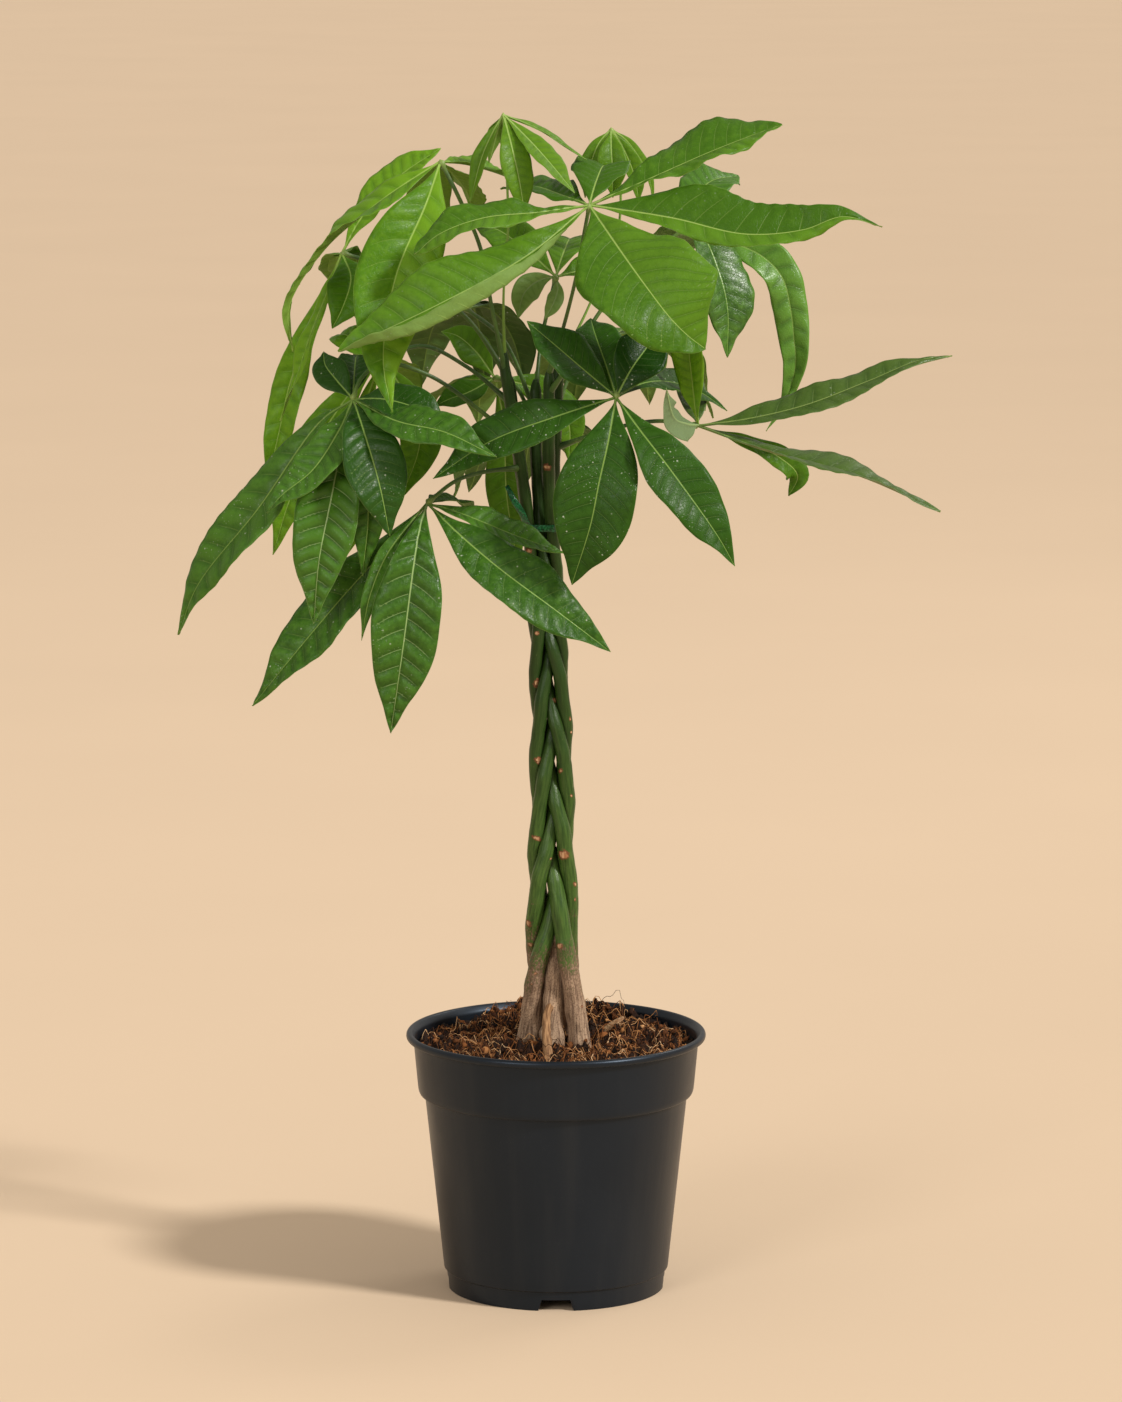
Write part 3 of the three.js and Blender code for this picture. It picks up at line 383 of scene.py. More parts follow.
potSet = {
    "sides": 192, "rowStep": 7, "ringFrom": 73, "ringRadius": 76, "ringTop": 8, "sharpDegrees": 50,
    "notches": 4, "notchWidth": 24, "notchHeight": 8, "notchSlope": 1.6,
    "holeRadius": 5, "holeCircle": 60, "holeSides": 24, "holeReach": (-5, 16),
    # the outline from the middle of the underside, up outside and down inside: radius, height, rounding
    "outline": [
        (0, 0, 0), (44, 0, 1), (49, 8, 1), (73.8, 8, 0.6), (74, 0, 0.5), (76, 0, 0.7), (77, 13.2, 0.3),
        (78.9, 14.4, 0.5), (92.1, 138.6, 1), (95.6, 139, 1.4), (96.7, 142, 2.4), (100, 177.3, 0.6),
        (103.6, 177.4, 1.4), (105, 178.8, 1.4), (105, 181.2, 1.8), (103.6, 182.9, 1.6), (101.5, 182.7, 1.2),
        (98.6, 178.8, 1.6), (94.9, 142.2, 1.2), (90.5, 138.6, 1.2), (78.3, 30, 2), (76.4, 10, 1),
        (48, 10, 1), (44, 2, 1), (0, 2, 0),
    ],
    "dark": (0.0042, 0.0058, 0.0088), "light": (0.0078, 0.0098, 0.0138), "streak": (0.016, 0.0165, 0.0178),
    "dust": (0.06, 0.056, 0.052), "shine": (0.62, 0.78, 1.0),
}


def roundedOutline(corners, steps=5):
    # each corner is cut back by its rounding and bridged by a parabola
    spots = []
    for i, (x, z, rounding) in enumerate(corners):
        here = np.array([x, z], float)
        if not rounding:
            spots.append(here[None])
            continue
        ends = [np.array(corners[i + k][:2], float) for k in (-1, 1)]
        back, on = (here + (end - here) * min(rounding / np.linalg.norm(end - here), 0.45) for end in ends)
        t = np.linspace(0, 1, steps)[:, None]
        spots.append((1 - t) ** 2 * back + 2 * t * (1 - t) * here + t ** 2 * on)
    return np.concatenate(spots)


def subdivide(outline, longest):
    # more points along the long straight stretches
    parts = []
    for a, b in zip(outline[:-1], outline[1:]):
        count = max(1, math.ceil(np.linalg.norm(b - a) / longest))
        parts.append(a + (b - a) * np.arange(count)[:, None] / count)
    return np.concatenate([*parts, outline[-1:]])


def potPlastic():
    # a dark and a lighter black in clouds, with streaks that run upwards and a little dust
    paint = Paint("potPlastic")
    streaks = paint.noise(42, 5, stretch=(1, 1, 0.03))
    cloud = paint.noise(16)
    colour = blend(cloud, potSet["dark"], potSet["light"])
    colour = blend(streaks.remap(0.45, 0.75, 0, 0.5), colour, potSet["streak"])
    dust = (paint.noise(900, 2) + cloud * 0.35).remap(0.86, 1.0, 0, 0.2)
    paint.finish(blend(dust, colour, potSet["dust"]), cloud.remap(0.3, 0.75, 0.33, 0.43), 0.4)
    paint.feed("Specular Tint", (*potSet["shine"], 1))
    moulded = paint.bump(streaks, 0.22, 0.0012)
    paint.bump(paint.noise(1400, 2), 0.10, 0.0003, moulded)
    return paint.material


def drainHoles():
    # four short cylinders that are cut out of the floor
    drills = Build("drills")
    _, way = circle(potSet["holeSides"])
    for i in range(potSet["notches"]):
        turn = math.pi / 2 + i / potSet["notches"] * fullTurn
        middle = np.array([math.cos(turn), math.sin(turn)]) * potSet["holeCircle"]
        rim = middle + potSet["holeRadius"] * way
        drills.add(mm * np.stack([stacked(rim[:, 0], rim[:, 1], z) for z in potSet["holeReach"]]))
    return addObject("drills", drills.mesh())


def makePot():
    # the outline is carried round the axis
    outline = subdivide(roundedOutline(potSet["outline"]), potSet["rowStep"])
    angle, way = circle(potSet["sides"])
    radius = np.maximum(outline[:, :1], 0.2)  # a small face closes each pole
    height = np.tile(outline[:, 1:], len(angle))
    # the ring of the foot is open at the notches: there its lower edge rises to their top
    notches, half = potSet["notches"], potSet["notchWidth"] / 2
    turn = (angle + math.pi / 2) / fullTurn * notches
    aside = np.abs(turn - np.round(turn)) / notches * fullTurn * potSet["ringRadius"]
    rise = potSet["notchHeight"] * (1 - smoothStep(aside, half - potSet["notchSlope"], half))
    ring = (outline[:, 0] > potSet["ringFrom"]) & (outline[:, 1] < potSet["ringTop"])
    height[ring] = np.maximum(height[ring], rise)
    build = Build("nurseryPot")
    build.add(mm * stacked(radius * way[:, 0], radius * way[:, 1], height))
    pot = build.finished([potPlastic()], "pot")
    drills = drainHoles()
    cut = pot.modifiers.new("holes", "BOOLEAN")
    cut.operation, cut.object, cut.solver = "DIFFERENCE", drills, "EXACT"
    whole = bpy.data.meshes.new_from_object(pot.evaluated_get(bpy.context.evaluated_depsgraph_get()))
    pot.modifiers.remove(cut)
    pot.data = whole
    bpy.data.objects.remove(drills)
    whole.set_sharp_from_angle(angle=math.radians(potSet["sharpDegrees"]))


makePot()
print("pot")


# trunks

plait = {
    # crossings: the heights at which a strand from the right goes behind
    "crossings": (178, 238, 298, 357, 415, 470, 521, 572), "offset": 1.482,
    "swing": 1.5, "depth": 2.2, "square": 0.08, "middle": 4, "legs": (178, 262), "closes": (480, 536),
    # where the strands are worked out, and how they are eased apart: sweeps, how many of them smooth
    "bottom": 120, "levels": (166, 665, 18), "room": 1.92, "gap": 0.3, "sweeps": (60, 50), "ease": 0.12,
}
plaitAxis = [(100, -1), (180, -1), (262, -3.8), (300, -2.8), (415, -2.8), (460, -5), (536, -10.5)]
trunkRadius = [(100, 7), (150, 7.6), (185, 7.3), (215, 6.6), (250, 5.8), (285, 5.35), (340, 4.95),
               (400, 4.5), (460, 4.1), (536, 3.95), (600, 4.2), (640, 3.7), (670, 3)]
# each trunk: its foot, its place in the tied bundle, and its way up (height, x, y) from there
trunks = {
    "left": {"foot": (-21.5, 14), "tied": (-4.4, -5.8),
             "up": [(570, -21.5, -3), (590, -25.5, -3), (620, -32.5, -2), (662, -36.5, 0)]},
    "rear_right": {"foot": (12, 24), "tied": (6.9, 2.4),
                   "up": [(570, -2, 9), (590, -1.5, 11), (655, 2, 15)]},
    "right": {"foot": (20, -4), "tied": (4.4, -5.8),
              "up": [(570, -5.2, -4), (590, -5.8, -5), (650, -4.5, -6)]},
    "middle": {"foot": (-2, -10), "tied": (0, 7.6),
               "up": [(570, -14, 14), (590, -16, 17), (640, -14, 23)]},
    "rear_left": {"foot": (-8, 29), "tied": (-6.9, 2.4),
                  "up": [(570, -22, 8), (590, -27, 12), (645, -34, 20)]},
}
barkSet = {
    "rows": 1.3, "sides": 44, "seed": 100, "greenFrom": 230, "brownRelief": (-25, 22), "raggedEdge": 16,
    # crevice: how far from the next trunk the painted shade between trunks reaches, in millimetres
    "tip": 9, "crevice": 2.4, "lineWindow": 11,
    # how much a trunk is plumper in the plait, and wider at the soil: share or millimetres, and heights
    "plump": (0.05, (200, 240), (520, 580)), "flare": (1.2, (165, 186)),
    "brownTo": {"left": 0, "rear_right": 10, "right": 8, "middle": 34, "rear_left": 14},
    # unevenness of all bark and of brown bark: how high, how long, how much it is drawn out upwards
    "uneven": [(0.16, 24, 1), (0.08, 5, 0.35)],
    "brownUneven": [(0.10, 3.2, 0.14), (0.06, 2.6, 1), (0.35, 15, 1)],
    # leaf scars and knots seen from the front: across, up, size, how much wider than high, lean in degrees
    "scars": [
        (-18, 573, 2.2, 0.8, 20), (-6, 581, 2.4, 1, 0), (-0.5, 549, 1.8, 0.7, 0), (-19, 522, 2.0, 1, 0),
        (-13, 465, 1.4, 1, 0), (-12.5, 429, 3.0, 1, 0), (-1, 417, 1.4, 1.2, 0), (9.5, 404, 1.5, 0.6, 0),
        (10, 394, 1.0, 1, 0), (-12, 375, 2.5, 1.2, -25), (3.5, 368, 1.3, 1.6, 40), (10.5, 350, 1.2, 0.7, 0),
        (-13.5, 320, 1.5, 2.4, -25), (5.5, 309, 3.2, 1.1, 20), (-4, 306, 0.9, 1, 0), (13, 287, 1.7, 0.8, 0),
        (13, 276, 1.5, 0.6, 0), (-19, 259, 1.7, 1.6, -55), (3, 245, 1.7, 1.5, 10), (-17.5, 243, 1.5, 1.3, 0),
        (-14.5, 224, 1.0, 1.2, 0), (-17, 216, 0.8, 1, 0), (18, 202, 1.0, 1, 0), (-8, 215, 0.8, 1, 0),
    ],
    "scarRim": {"high": 0.22, "highest": 0.5, "at": 0.85, "wide": 0.3}, "scarSwelling": (0.14, 5),
    # scars out of sight on each trunk: how many, and the limits of height, size, width and lean
    "hiddenScars": 5, "hiddenSeed": 41, "hidden": [(255, 560), (0.9, 2.6), (0.7, 1.9), (-40, 40)],
    # lumps at the foot of a trunk: trunk, height, angle in degrees, height and width of the lump
    "lumps": [("left", 181, -62, 3.4, 6), ("left", 172, -40, 2.6, 5), ("middle", 182, -150, 2.6, 6),
              ("right", 176, -70, 1.4, 7), ("rear_left", 178, 160, 1.6, 7), ("rear_right", 176, 20, 1.8, 7)],
    "tints": {
        "green": ((0.024, 0.062, 0.011), (0.082, 0.158, 0.030)), "mottle": (0.075, 0.085, 0.028),
        "youngGreen": (0.014, 0.038, 0.006), "wood": ((0.115, 0.066, 0.042), (0.58, 0.40, 0.265)),
        "paleWood": (0.62, 0.43, 0.28), "crack": (0.07, 0.036, 0.020), "flake": (0.66, 0.52, 0.38),
        "darkNearSoil": (0.09, 0.042, 0.022), "woodEdge": (0.12, 0.066, 0.040), "fleck": (0.30, 0.33, 0.15),
        "scar": ((0.30, 0.12, 0.05), (0.62, 0.40, 0.23)), "scarRim": (0.17, 0.06, 0.028),
        # crevice: the colour multiplied in as painted shade where two trunks meet
        "bare": ((0.13, 0.060, 0.028), (0.46, 0.26, 0.125)), "crevice": (0.16, 0.15, 0.12),
    },
}


def trunkThick(heights):
    # radius read off the straight lines between the listed heights
    return np.interp(heights, *zip(*trunkRadius))


def trunkLines():
    # straight legs run up from the feet; then the five strands swing from side to side, each a fifth of a
    # turn after the last, and where two come too close both are eased apart
    levels = np.concatenate([[plait["bottom"]], np.arange(*plait["levels"])]).astype(float)
    foot, joins = plait["legs"]
    high = np.maximum(levels, joins)
    thick, axis = trunkThick(high), np.interp(high, *zip(*plaitAxis))
    crossed = np.interp(high, plait["crossings"], np.arange(len(plait["crossings"]))) - plait["offset"]
    leg = np.clip((levels - foot) / (joins - foot), 0, 1)[:, None]
    closed = plait["closes"][1]
    lines = []
    for order, trunk in enumerate(trunks.values()):
        turn = fullTurn * (crossed + order) / len(trunks)
        swing = (np.sin(turn) - plait["square"] * np.sin(3 * turn)) / (1 + plait["square"])
        woven = stacked(axis + plait["swing"] * thick * swing,
                        plait["middle"] + plait["depth"] * thick * np.sin(2 * turn))
        spot = np.array(trunk["foot"]) * (1 - leg) + woven * leg
        tied = np.array(trunk["tied"]) + (plaitAxis[-1][1], plait["middle"])
        spot += (tied - spot) * smoothStep(levels, *plait["closes"])[:, None]
        up = np.array([(closed, *tied), *trunk["up"]])
        above = np.stack([np.interp(levels, up[:, 0], up[:, k]) for k in (1, 2)], axis=1)
        lines.append(np.where((levels > closed)[:, None], above, spot))
    lines = np.array(lines)
    room = plait["room"] * trunkThick(levels) + 2 * plait["gap"]
    sweeps, smoothing = plait["sweeps"]
    for sweep in range(sweeps):
        for i in range(len(lines)):
            for j in range(i + 1, len(lines)):
                apart = lines[i] - lines[j]
                far = np.linalg.norm(apart, axis=1)
                push = (np.maximum(room - far, 0) / 2 / far)[:, None] * apart
                lines[i] += push
                lines[j] -= push
        if sweep < smoothing:
            mean = (lines[:, :-2] + lines[:, 2:]) / 2
            lines[:, 1:-1] += (mean - lines[:, 1:-1]) * plait["ease"]
    return levels, lines


trunkLevels, trunkPlaces = trunkLines()
trunkNames = list(trunks)


def trunkSpots(name, heights):
    # points on a trunk's line, in millimetres, at one height or many
    line = trunkPlaces[trunkNames.index(name)]
    return stacked(*(np.interp(heights, trunkLevels, line[:, k]) for k in (0, 1)), heights)


def scarPlaces():
    # every scar lands on the trunk that is nearest to the eye at its place
    rng = np.random.default_rng(barkSet["hiddenSeed"])
    places = {name: [] for name in trunkNames}
    for across, up, *shape in barkSet["scars"]:
        best = None
        radius = trunkThick(up)
        for name in trunkNames:
            x, y, _ = trunkSpots(name, up)
            if abs(across - x) < radius * 0.98:
                front = y - math.sqrt(radius ** 2 - (across - x) ** 2)
                if best is None or front < best[0]:
                    best = (front, name, math.atan2(front - y, across - x))
        if best:
            places[best[1]].append((up, best[2], *shape))
    heights, *shapes = barkSet["hidden"]
    for name in trunkNames:
        for _ in range(barkSet["hiddenScars"]):
            up, turn = rng.uniform(*heights), rng.uniform(0.15, 0.85) * math.pi
            places[name].append((up, turn, *(rng.uniform(*limits) for limits in shapes)))
    return places


def relief(spots, waves, seed):
    # ripples added up, each drawn out upwards by its own share
    return sum(high * ripple(spots * (1, 1, drawn), size, seed + i)
               for i, (high, size, drawn) in enumerate(waves))


def turnFrom(angle, start):
    # how far each angle is from the start, at most half a circle either way
    return np.angle(np.exp(1j * (angle - start)))


def makeTrunk(name, scars, material, order):
    # a circle for each row: its radius is the trunk's, with ripples, scars, lumps and a wider foot
    top = trunks[name]["up"][-1][0]
    heights = np.arange(plait["bottom"], top, barkSet["rows"])
    centre = trunkSpots(name, heights)
    for k in (0, 1):  # the line is rounded where its straight parts meet
        centre[:, k] = rounded(centre[:, k], barkSet["lineWindow"], "edge")
    angle, way = circle(barkSet["sides"])
    way = np.pad(way, ((0, 0), (0, 1)))
    more, begins, ends = barkSet["plump"]
    level = heights[:, None]
    radius = trunkThick(level) * (1 + more * smoothStep(level, *begins) * (1 - smoothStep(level, *ends)))
    spots = centre[:, None] + radius[..., None] * way
    brown = 1 - smoothStep(level, *(barkSet["greenFrom"] + reach for reach in barkSet["brownRelief"]))
    seed = barkSet["seed"] + order * 10
    out = relief(spots, barkSet["uneven"], seed)
    out += brown * relief(spots, barkSet["brownUneven"], seed + 2)
    mark = np.full((len(heights), len(angle)), 3.0)  # how far a spot is from the nearest scar, in its sizes
    rim = barkSet["scarRim"]
    swelling, reach = barkSet["scarSwelling"]
    for height, turn, size, wider, lean in scars:
        aside = turnFrom(angle, turn) * radius
        above = level - height
        lean = math.radians(lean)
        away = np.hypot((aside * math.cos(lean) + above * math.sin(lean)) / (size * wider),
                        (above * math.cos(lean) - aside * math.sin(lean)) / size)
        high = min(rim["highest"], size * rim["high"])
        out += high * bell((away - rim["at"]) / rim["wide"]) + 0.1 * bell(away)
        out += swelling * size * bell(aside / reach, (above + 2) / reach)  # the bark swells under a scar
        mark = np.minimum(mark, away)
    for owner, height, degrees, lift, wide in barkSet["lumps"]:
        if owner == name:
            aside = turnFrom(angle, math.radians(degrees)) * radius
            out += lift * np.exp(-(aside / wide) ** 2 * 1.6 - ((level - height) / wide) ** 2 * 1.6)
    flare, stretch = barkSet["flare"]
    out += flare * (1 - smoothStep(level, *stretch)) * (1 + 0.5 * ripple(spots, 16, seed + 5))
    # the growing tip closes to a bud
    close = np.sqrt(np.clip((top - level) / barkSet["tip"], 0, 1))
    rings = centre[:, None] + ((radius * close + out * close) + 0.15)[..., None] * way
    # a painted shade: the bark is darkened where it comes near the next trunk
    near = np.full(mark.shape, 9.0)  # millimetres to the next trunk
    for other in trunkNames:
        if other != name:
            beside = np.linalg.norm((rings - trunkSpots(other, heights)[:, None])[..., :2], axis=-1)
            near = np.minimum(near, beside - trunkThick(level))
    crevice = np.clip(1 - near / barkSet["crevice"], 0, 1)
    build = Build("trunk_" + name)
    # values for the bark: where the grain runs, how near the next trunk is for the painted shade, scars and
    # where brown ends
    build.add(mm * rings, grain=mm * stacked(angle * radius, level, 40.0 * order),
              crevice=stacked(crevice, 0, 0), bark=stacked(mark, 0, barkSet["brownTo"][name] * mm))
    if name == "middle":
        addRoot(build)
    build.finished([material], "stem_" + name)


# the thin root that leaves the middle trunk over the soil, from its height on that trunk
propRoot = {"from": 205, "via": [(-6.4, 194, 13), (-6.8, 185, 22), (-6.2, 174, 36), (-5.4, 158, 50)],
            "thin": 2.4, "thick": 3.7, "uneven": 0.28, "rows": 70, "sides": 26, "seed": 77}


def addRoot(build):
    # a tube along a smooth curve that thickens evenly towards the soil, with ripples
    shares = np.linspace(0, 1, propRoot["rows"])
    curve = smoothCurve([trunkSpots("middle", propRoot["from"]) * mm, *seen(propRoot["via"])])
    angle, way = circle(propRoot["sides"])
    along = shares[:, None]
    thick = propRoot["thin"] + (propRoot["thick"] - propRoot["thin"]) * along
    rough = ripple(stacked(3 * way[:, 0], 3 * way[:, 1], along * 14), 3, propRoot["seed"])
    radius = thick * mm + propRoot["uneven"] * mm * rough
    rings = tubeRings(alongCurve(curve, shares), radius, propRoot["sides"])
    grain = stacked(angle * 2.4, along * curve[1][-1] / mm, 300.0) * mm
    build.add(rings, grain=grain, bark=(0, 1, 0))


def trunkBark():
    # streaks and flecks run along the grain; brown bark below, green above, with scars, and painted shade
    # where two trunks meet
    paint = Paint("greenAndBrownBark")
    tints = barkSet["tints"]
    height = paint.place.parts()[2]
    grain = paint.attribute("grain")
    scar, peeled, shift = paint.attribute("bark").parts()
    crevice = paint.attribute("crevice").parts()[0]
    cloud = paint.noise(60)
    streak = paint.noise(700, 5, (1, 0.09, 1), grain)
    fleck = paint.noise(900, 3, (1, 0.55, 1), grain)
    fine = paint.noise(1500, 2, (1, 0.5, 1), grain)
    # the brown ends in a ragged edge, higher up on some trunks
    edge = height + (cloud - 0.5) * 0.09 + (streak - 0.5) * 0.05 - shift + (fleck - 0.5) * 0.09
    low, high = ((barkSet["greenFrom"] + k * barkSet["raggedEdge"]) * mm for k in (-1, 1))
    green = edge.remap(low, high)
    leafy = blend(streak.remap(0.25, 0.75), *tints["green"])
    leafy = blend(cloud.remap(0.58, 0.76, 0, 0.35), leafy, tints["mottle"])
    leafy = blend(height.remap(0.26, 0.44) * 0.8, leafy, tints["youngGreen"])
    woody = blend(streak.remap(0.25, 0.75), *tints["wood"])
    woody = blend(cloud.remap(0.5, 0.7, 0, 0.5), woody, tints["paleWood"])
    woody = blend(fine.remap(0.54, 0.62, 0, 0.6), woody, tints["crack"])
    woody = blend(fleck.remap(0.66, 0.72, 0, 0.8), woody, tints["flake"])
    # the wood is darker just above the soil
    woody = blend(height.remap(0.160, 0.18, 0.6, 0), woody, tints["darkNearSoil"])
    woody = blend(edge.remap(0.19, 0.235, 0, 0.75), woody, tints["woodEdge"])
    colour = blend(green, woody, leafy)
    colour = blend(fleck.remap(0.67, 0.74) * 0.22, colour, tints["fleck"])
    # a scar: ragged, with a brown rim round a tan middle
    ragged = scar + (paint.noise(520, 3) - 0.5) * 1.5
    colour = blend(ragged.remap(0.95, 1.3, 0.9, 0), colour, tints["scarRim"])
    colour = blend(ragged.remap(0.55, 0.85, 1, 0), colour, blend(streak.remap(0.35, 0.65), *tints["scar"]))
    colour = blend(peeled, colour, blend(streak.remap(0.3, 0.7), *tints["bare"]))
    # painted shade where this trunk comes near the next one
    colour = blend(crevice * 0.9, colour, tints["crevice"], kind="MULTIPLY")
    paint.finish(colour, green.remap(0, 1, 0.8, 0.31), 0.22)
    paint.bump(streak + (fleck + fine) * 0.5, 0.5, 0.0006)
    return paint.material


bark = trunkBark()
scars = scarPlaces()
for order, name in enumerate(trunkNames):
    makeTrunk(name, scars[name], bark, order)
print("trunks")


# coir: a rough bed with crumbs and fibres on it

soilSet = {
    "level": 170, "mound": 5.5, "moundSpread": 48, "heap": 14, "heapAt": (4, 76), "heapSpread": (58, 28),
    # ripples of its top: how high and how long; the hollow round each trunk: from its middle, wide, deep
    "ripples": [(1.5, 30), (2.3, 12), (1.5, 6)], "rough": (0.9, 3.2), "hollow": (7.8, 4.5, 4.5),
    "reach": 97.1, "rings": 130, "sides": 260, "edge": 95.5,
    # the filling's side follows the pot's inner face: radius, height
    "side": [(43.4, 2.4), (47.4, 10.4), (75.8, 10.4), (77.5, 30.3), (89.8, 138.9), (94.2, 142.3)],
    "crumbs": {"count": 1150, "size": (0.7, 2.3), "reach": 94, "rows": 5, "sides": 6, "seed": 11},
    "fibreSeed": 23,
    # fibres: count, length, radius, lift, curl, reach, low and high tone, rows; the last ones stand up
    "fibres": [
        (1700, (4, 13), (0.18, 0.34), (0.1, 1.8), 1.8, 95, (0.05, 0.6), 8),
        (520, (9, 26), (0.20, 0.38), (0.6, 4.2), 1.3, 93, (0.35, 1.0), 8),
        (330, (4, 12), (0.42, 0.80), (0.2, 2.4), 1.0, 92, (0.05, 0.8), 8),
        (110, (12, 26), (0.20, 0.36), (4, 12), 2.2, 90, (0.05, 0.95), 10),
    ],
    # colours from a low tone to a high one
    "tones": [(0, (0.010, 0.004, 0.002)), (0.3, (0.062, 0.020, 0.006)), (0.6, (0.25, 0.088, 0.024)),
              (0.85, (0.54, 0.265, 0.10)), (1, (0.86, 0.58, 0.33))],
}


def soilTop(x, y):
    # a mound in the middle and a heap at the back, with ripples, sunk round every trunk
    height = soilSet["level"] + soilSet["mound"] * bell(np.hypot(x, y) / soilSet["moundSpread"])
    for order, (high, size) in enumerate(soilSet["ripples"]):
        height = height + high * ripple(stacked(x, y, 0), size, 5 + order)
    asideX, asideY = ((spot - at) / wide for spot, at, wide in
                      zip((x, y), soilSet["heapAt"], soilSet["heapSpread"]))
    height = height + soilSet["heap"] * bell(np.hypot(asideX, asideY))
    radius, wide, deep = soilSet["hollow"]
    for name in trunkNames:
        foot = trunkSpots(name, 172)
        gap = np.hypot(x - foot[0], y - foot[1]) - radius
        height = height - deep * bell(gap / wide)
    return height


def makeSoilBed(material):
    # rings from the pot's floor up its wall, and from there in to the middle over the top
    _, way = circle(soilSet["sides"])
    side = [stacked(radius * way[:, 0], radius * way[:, 1], height) for radius, height in soilSet["side"]]
    radii = soilSet["reach"] * (1 - np.linspace(0, 1, soilSet["rings"]) ** 1.15 * 0.997)
    x, y = (radii[:, None] * way[:, k] for k in (0, 1))
    high, size = soilSet["rough"]
    rough = high * ripple(stacked(x, y, 0), size, 8, 30)
    rough = rough * smoothStep(soilSet["reach"] - radii, 0, 4)[:, None]
    build = Build("coirBed")
    build.add(mm * np.concatenate([np.array(side), stacked(x, y, soilTop(x, y) + rough)]), tone=(0.02, 0, 0))
    build.finished([material], "soil")


def scattered(rng, count, reach):
    # spots spread evenly over a disc
    away, turn = reach * np.sqrt(rng.uniform(0.002, 1, count)), rng.uniform(0, fullTurn, count)
    return away * np.cos(turn), away * np.sin(turn)


def tones(values):
    # one tone for each of many tubes
    return stacked(values, 0, 0)[:, None, None]


def makeCrumbs(material):
    # balls with a few faces, pushed in and out at random, squashed and turned
    crumbs = soilSet["crumbs"]
    rng = np.random.default_rng(crumbs["seed"])
    count, rows, cols = crumbs["count"], crumbs["rows"], crumbs["sides"]
    x, y = scattered(rng, count, crumbs["reach"])
    size = rng.uniform(*crumbs["size"], count) * (1 + 0.6 * (rng.uniform(size=count) > 0.93))
    polar = np.linspace(0.12, math.pi - 0.12, rows)[:, None]
    angle, _ = circle(cols)
    ball = stacked(np.sin(polar) * np.cos(angle), np.sin(polar) * np.sin(angle), np.cos(polar))
    lumps = ball[None] * rng.uniform(0.65, 1.25, (count, rows, cols, 1))
    lumps = lumps * rng.uniform(0.55, 1.3, (count, 1, 1, 3))
    turn = rng.uniform(0, fullTurn, count)[:, None, None]
    lumps = stacked(lumps[..., 0] * np.cos(turn) - lumps[..., 2] * np.sin(turn), lumps[..., 1],
                    lumps[..., 0] * np.sin(turn) + lumps[..., 2] * np.cos(turn))
    centre = stacked(x, y, soilTop(x, y) + 0.35 * size)
    build = Build("coirCrumbs")
    build.add(mm * (centre[:, None, None] + lumps * size[:, None, None, None]),
              tone=tones(rng.beta(1.3, 2.6, count)))
    build.finished([material], "soil")


def fibreRings(rng, count, length, radius, lift, curl, reach, rows, sides=3):
    # thin tubes along paths that bend over the soil: the heading turns steadily and wavers
    x, y = scattered(rng, count, reach)
    share = np.linspace(0, 1, rows)
    length = rng.uniform(*length, count)[:, None]
    heading = (rng.uniform(0, fullTurn, count)[:, None] + rng.normal(0, curl, count)[:, None] * share
               + rng.uniform(0, 0.9, count)[:, None] * np.sin(share * rng.uniform(3, 9, count)[:, None]
                                                            + rng.uniform(0, 6, count)[:, None]))
    step = length / (rows - 1)
    x = x[:, None] + np.cumsum(np.cos(heading) * step, axis=1) - length * 0.5 * np.cos(heading[:, :1])
    y = y[:, None] + np.cumsum(np.sin(heading) * step, axis=1) - length * 0.5 * np.sin(heading[:, :1])
    keep = np.minimum(1, soilSet["edge"] / np.maximum(np.hypot(x, y), 1e-6))  # none leaves the pot
    x, y = x * keep, y * keep
    rise = rng.uniform(*lift, count)[:, None]
    tilt = rng.normal(0, 0.9, count)[:, None] * (share - 0.5) * 2
    centre = stacked(x, y, soilTop(x, y) + rise * np.sin(math.pi * share) ** 0.8 + tilt + 0.25)
    thick = rng.uniform(*radius, count)[:, None, None] * (1 - 0.55 * share ** 2)[:, None]
    return tubeRings(centre, thick, sides, (0.1, 0.2, 1.0))


def makeFibres(material):
    # thousands of thin tubes in four kinds, each kind with its own lengths and lift
    rng = np.random.default_rng(soilSet["fibreSeed"])
    build = Build("coirFibres")
    for count, length, radius, lift, curl, reach, limits, rows in soilSet["fibres"]:
        tone = tones(rng.uniform(*limits, count))
        build.add(mm * fibreRings(rng, count, length, radius, lift, curl, reach, rows), tone=tone)
    build.finished([material], "soil")


def coir():
    # one ramp from dark to straw, read by each piece's tone and two noises
    paint = Paint("coir")
    fine = paint.noise(1300, 3)
    share = paint.attribute("tone").parts()[0] + (paint.noise(90) - 0.5) * 0.5 + (fine - 0.5) * 0.35
    ramp = addNode(paint.tree, "ValToRGB", {0: share})
    stops = ramp.color_ramp.elements
    (_, lowest), *between, (_, highest) = soilSet["tones"]
    stops[0].color, stops[1].color = (*lowest, 1), (*highest, 1)
    for spot, colour in between:
        stops.new(spot).color = (*colour, 1)
    paint.finish(Signal(ramp.outputs[0]), 0.88, 0.25)
    paint.bump(fine, 0.6, 0.0008)
    return paint.material


coirLook = coir()
makeSoilBed(coirLook)
makeCrumbs(coirLook)
makeFibres(coirLook)
print("coir")


# splinter of bark stuck in the soil

splinter = {"points": [(30, 176, -36), (33, 180, -35), (39, 186, -34), (46, 191, -33)],
            "thick": 3.4, "thin": 0.9, "frayed": 8, "frays": 2.2, "rows": 40, "sides": 26,
            "grain": ((0.27, 0.13, 0.06), (0.62, 0.42, 0.24)), "stain": (0.42, 0.22, 0.11)}


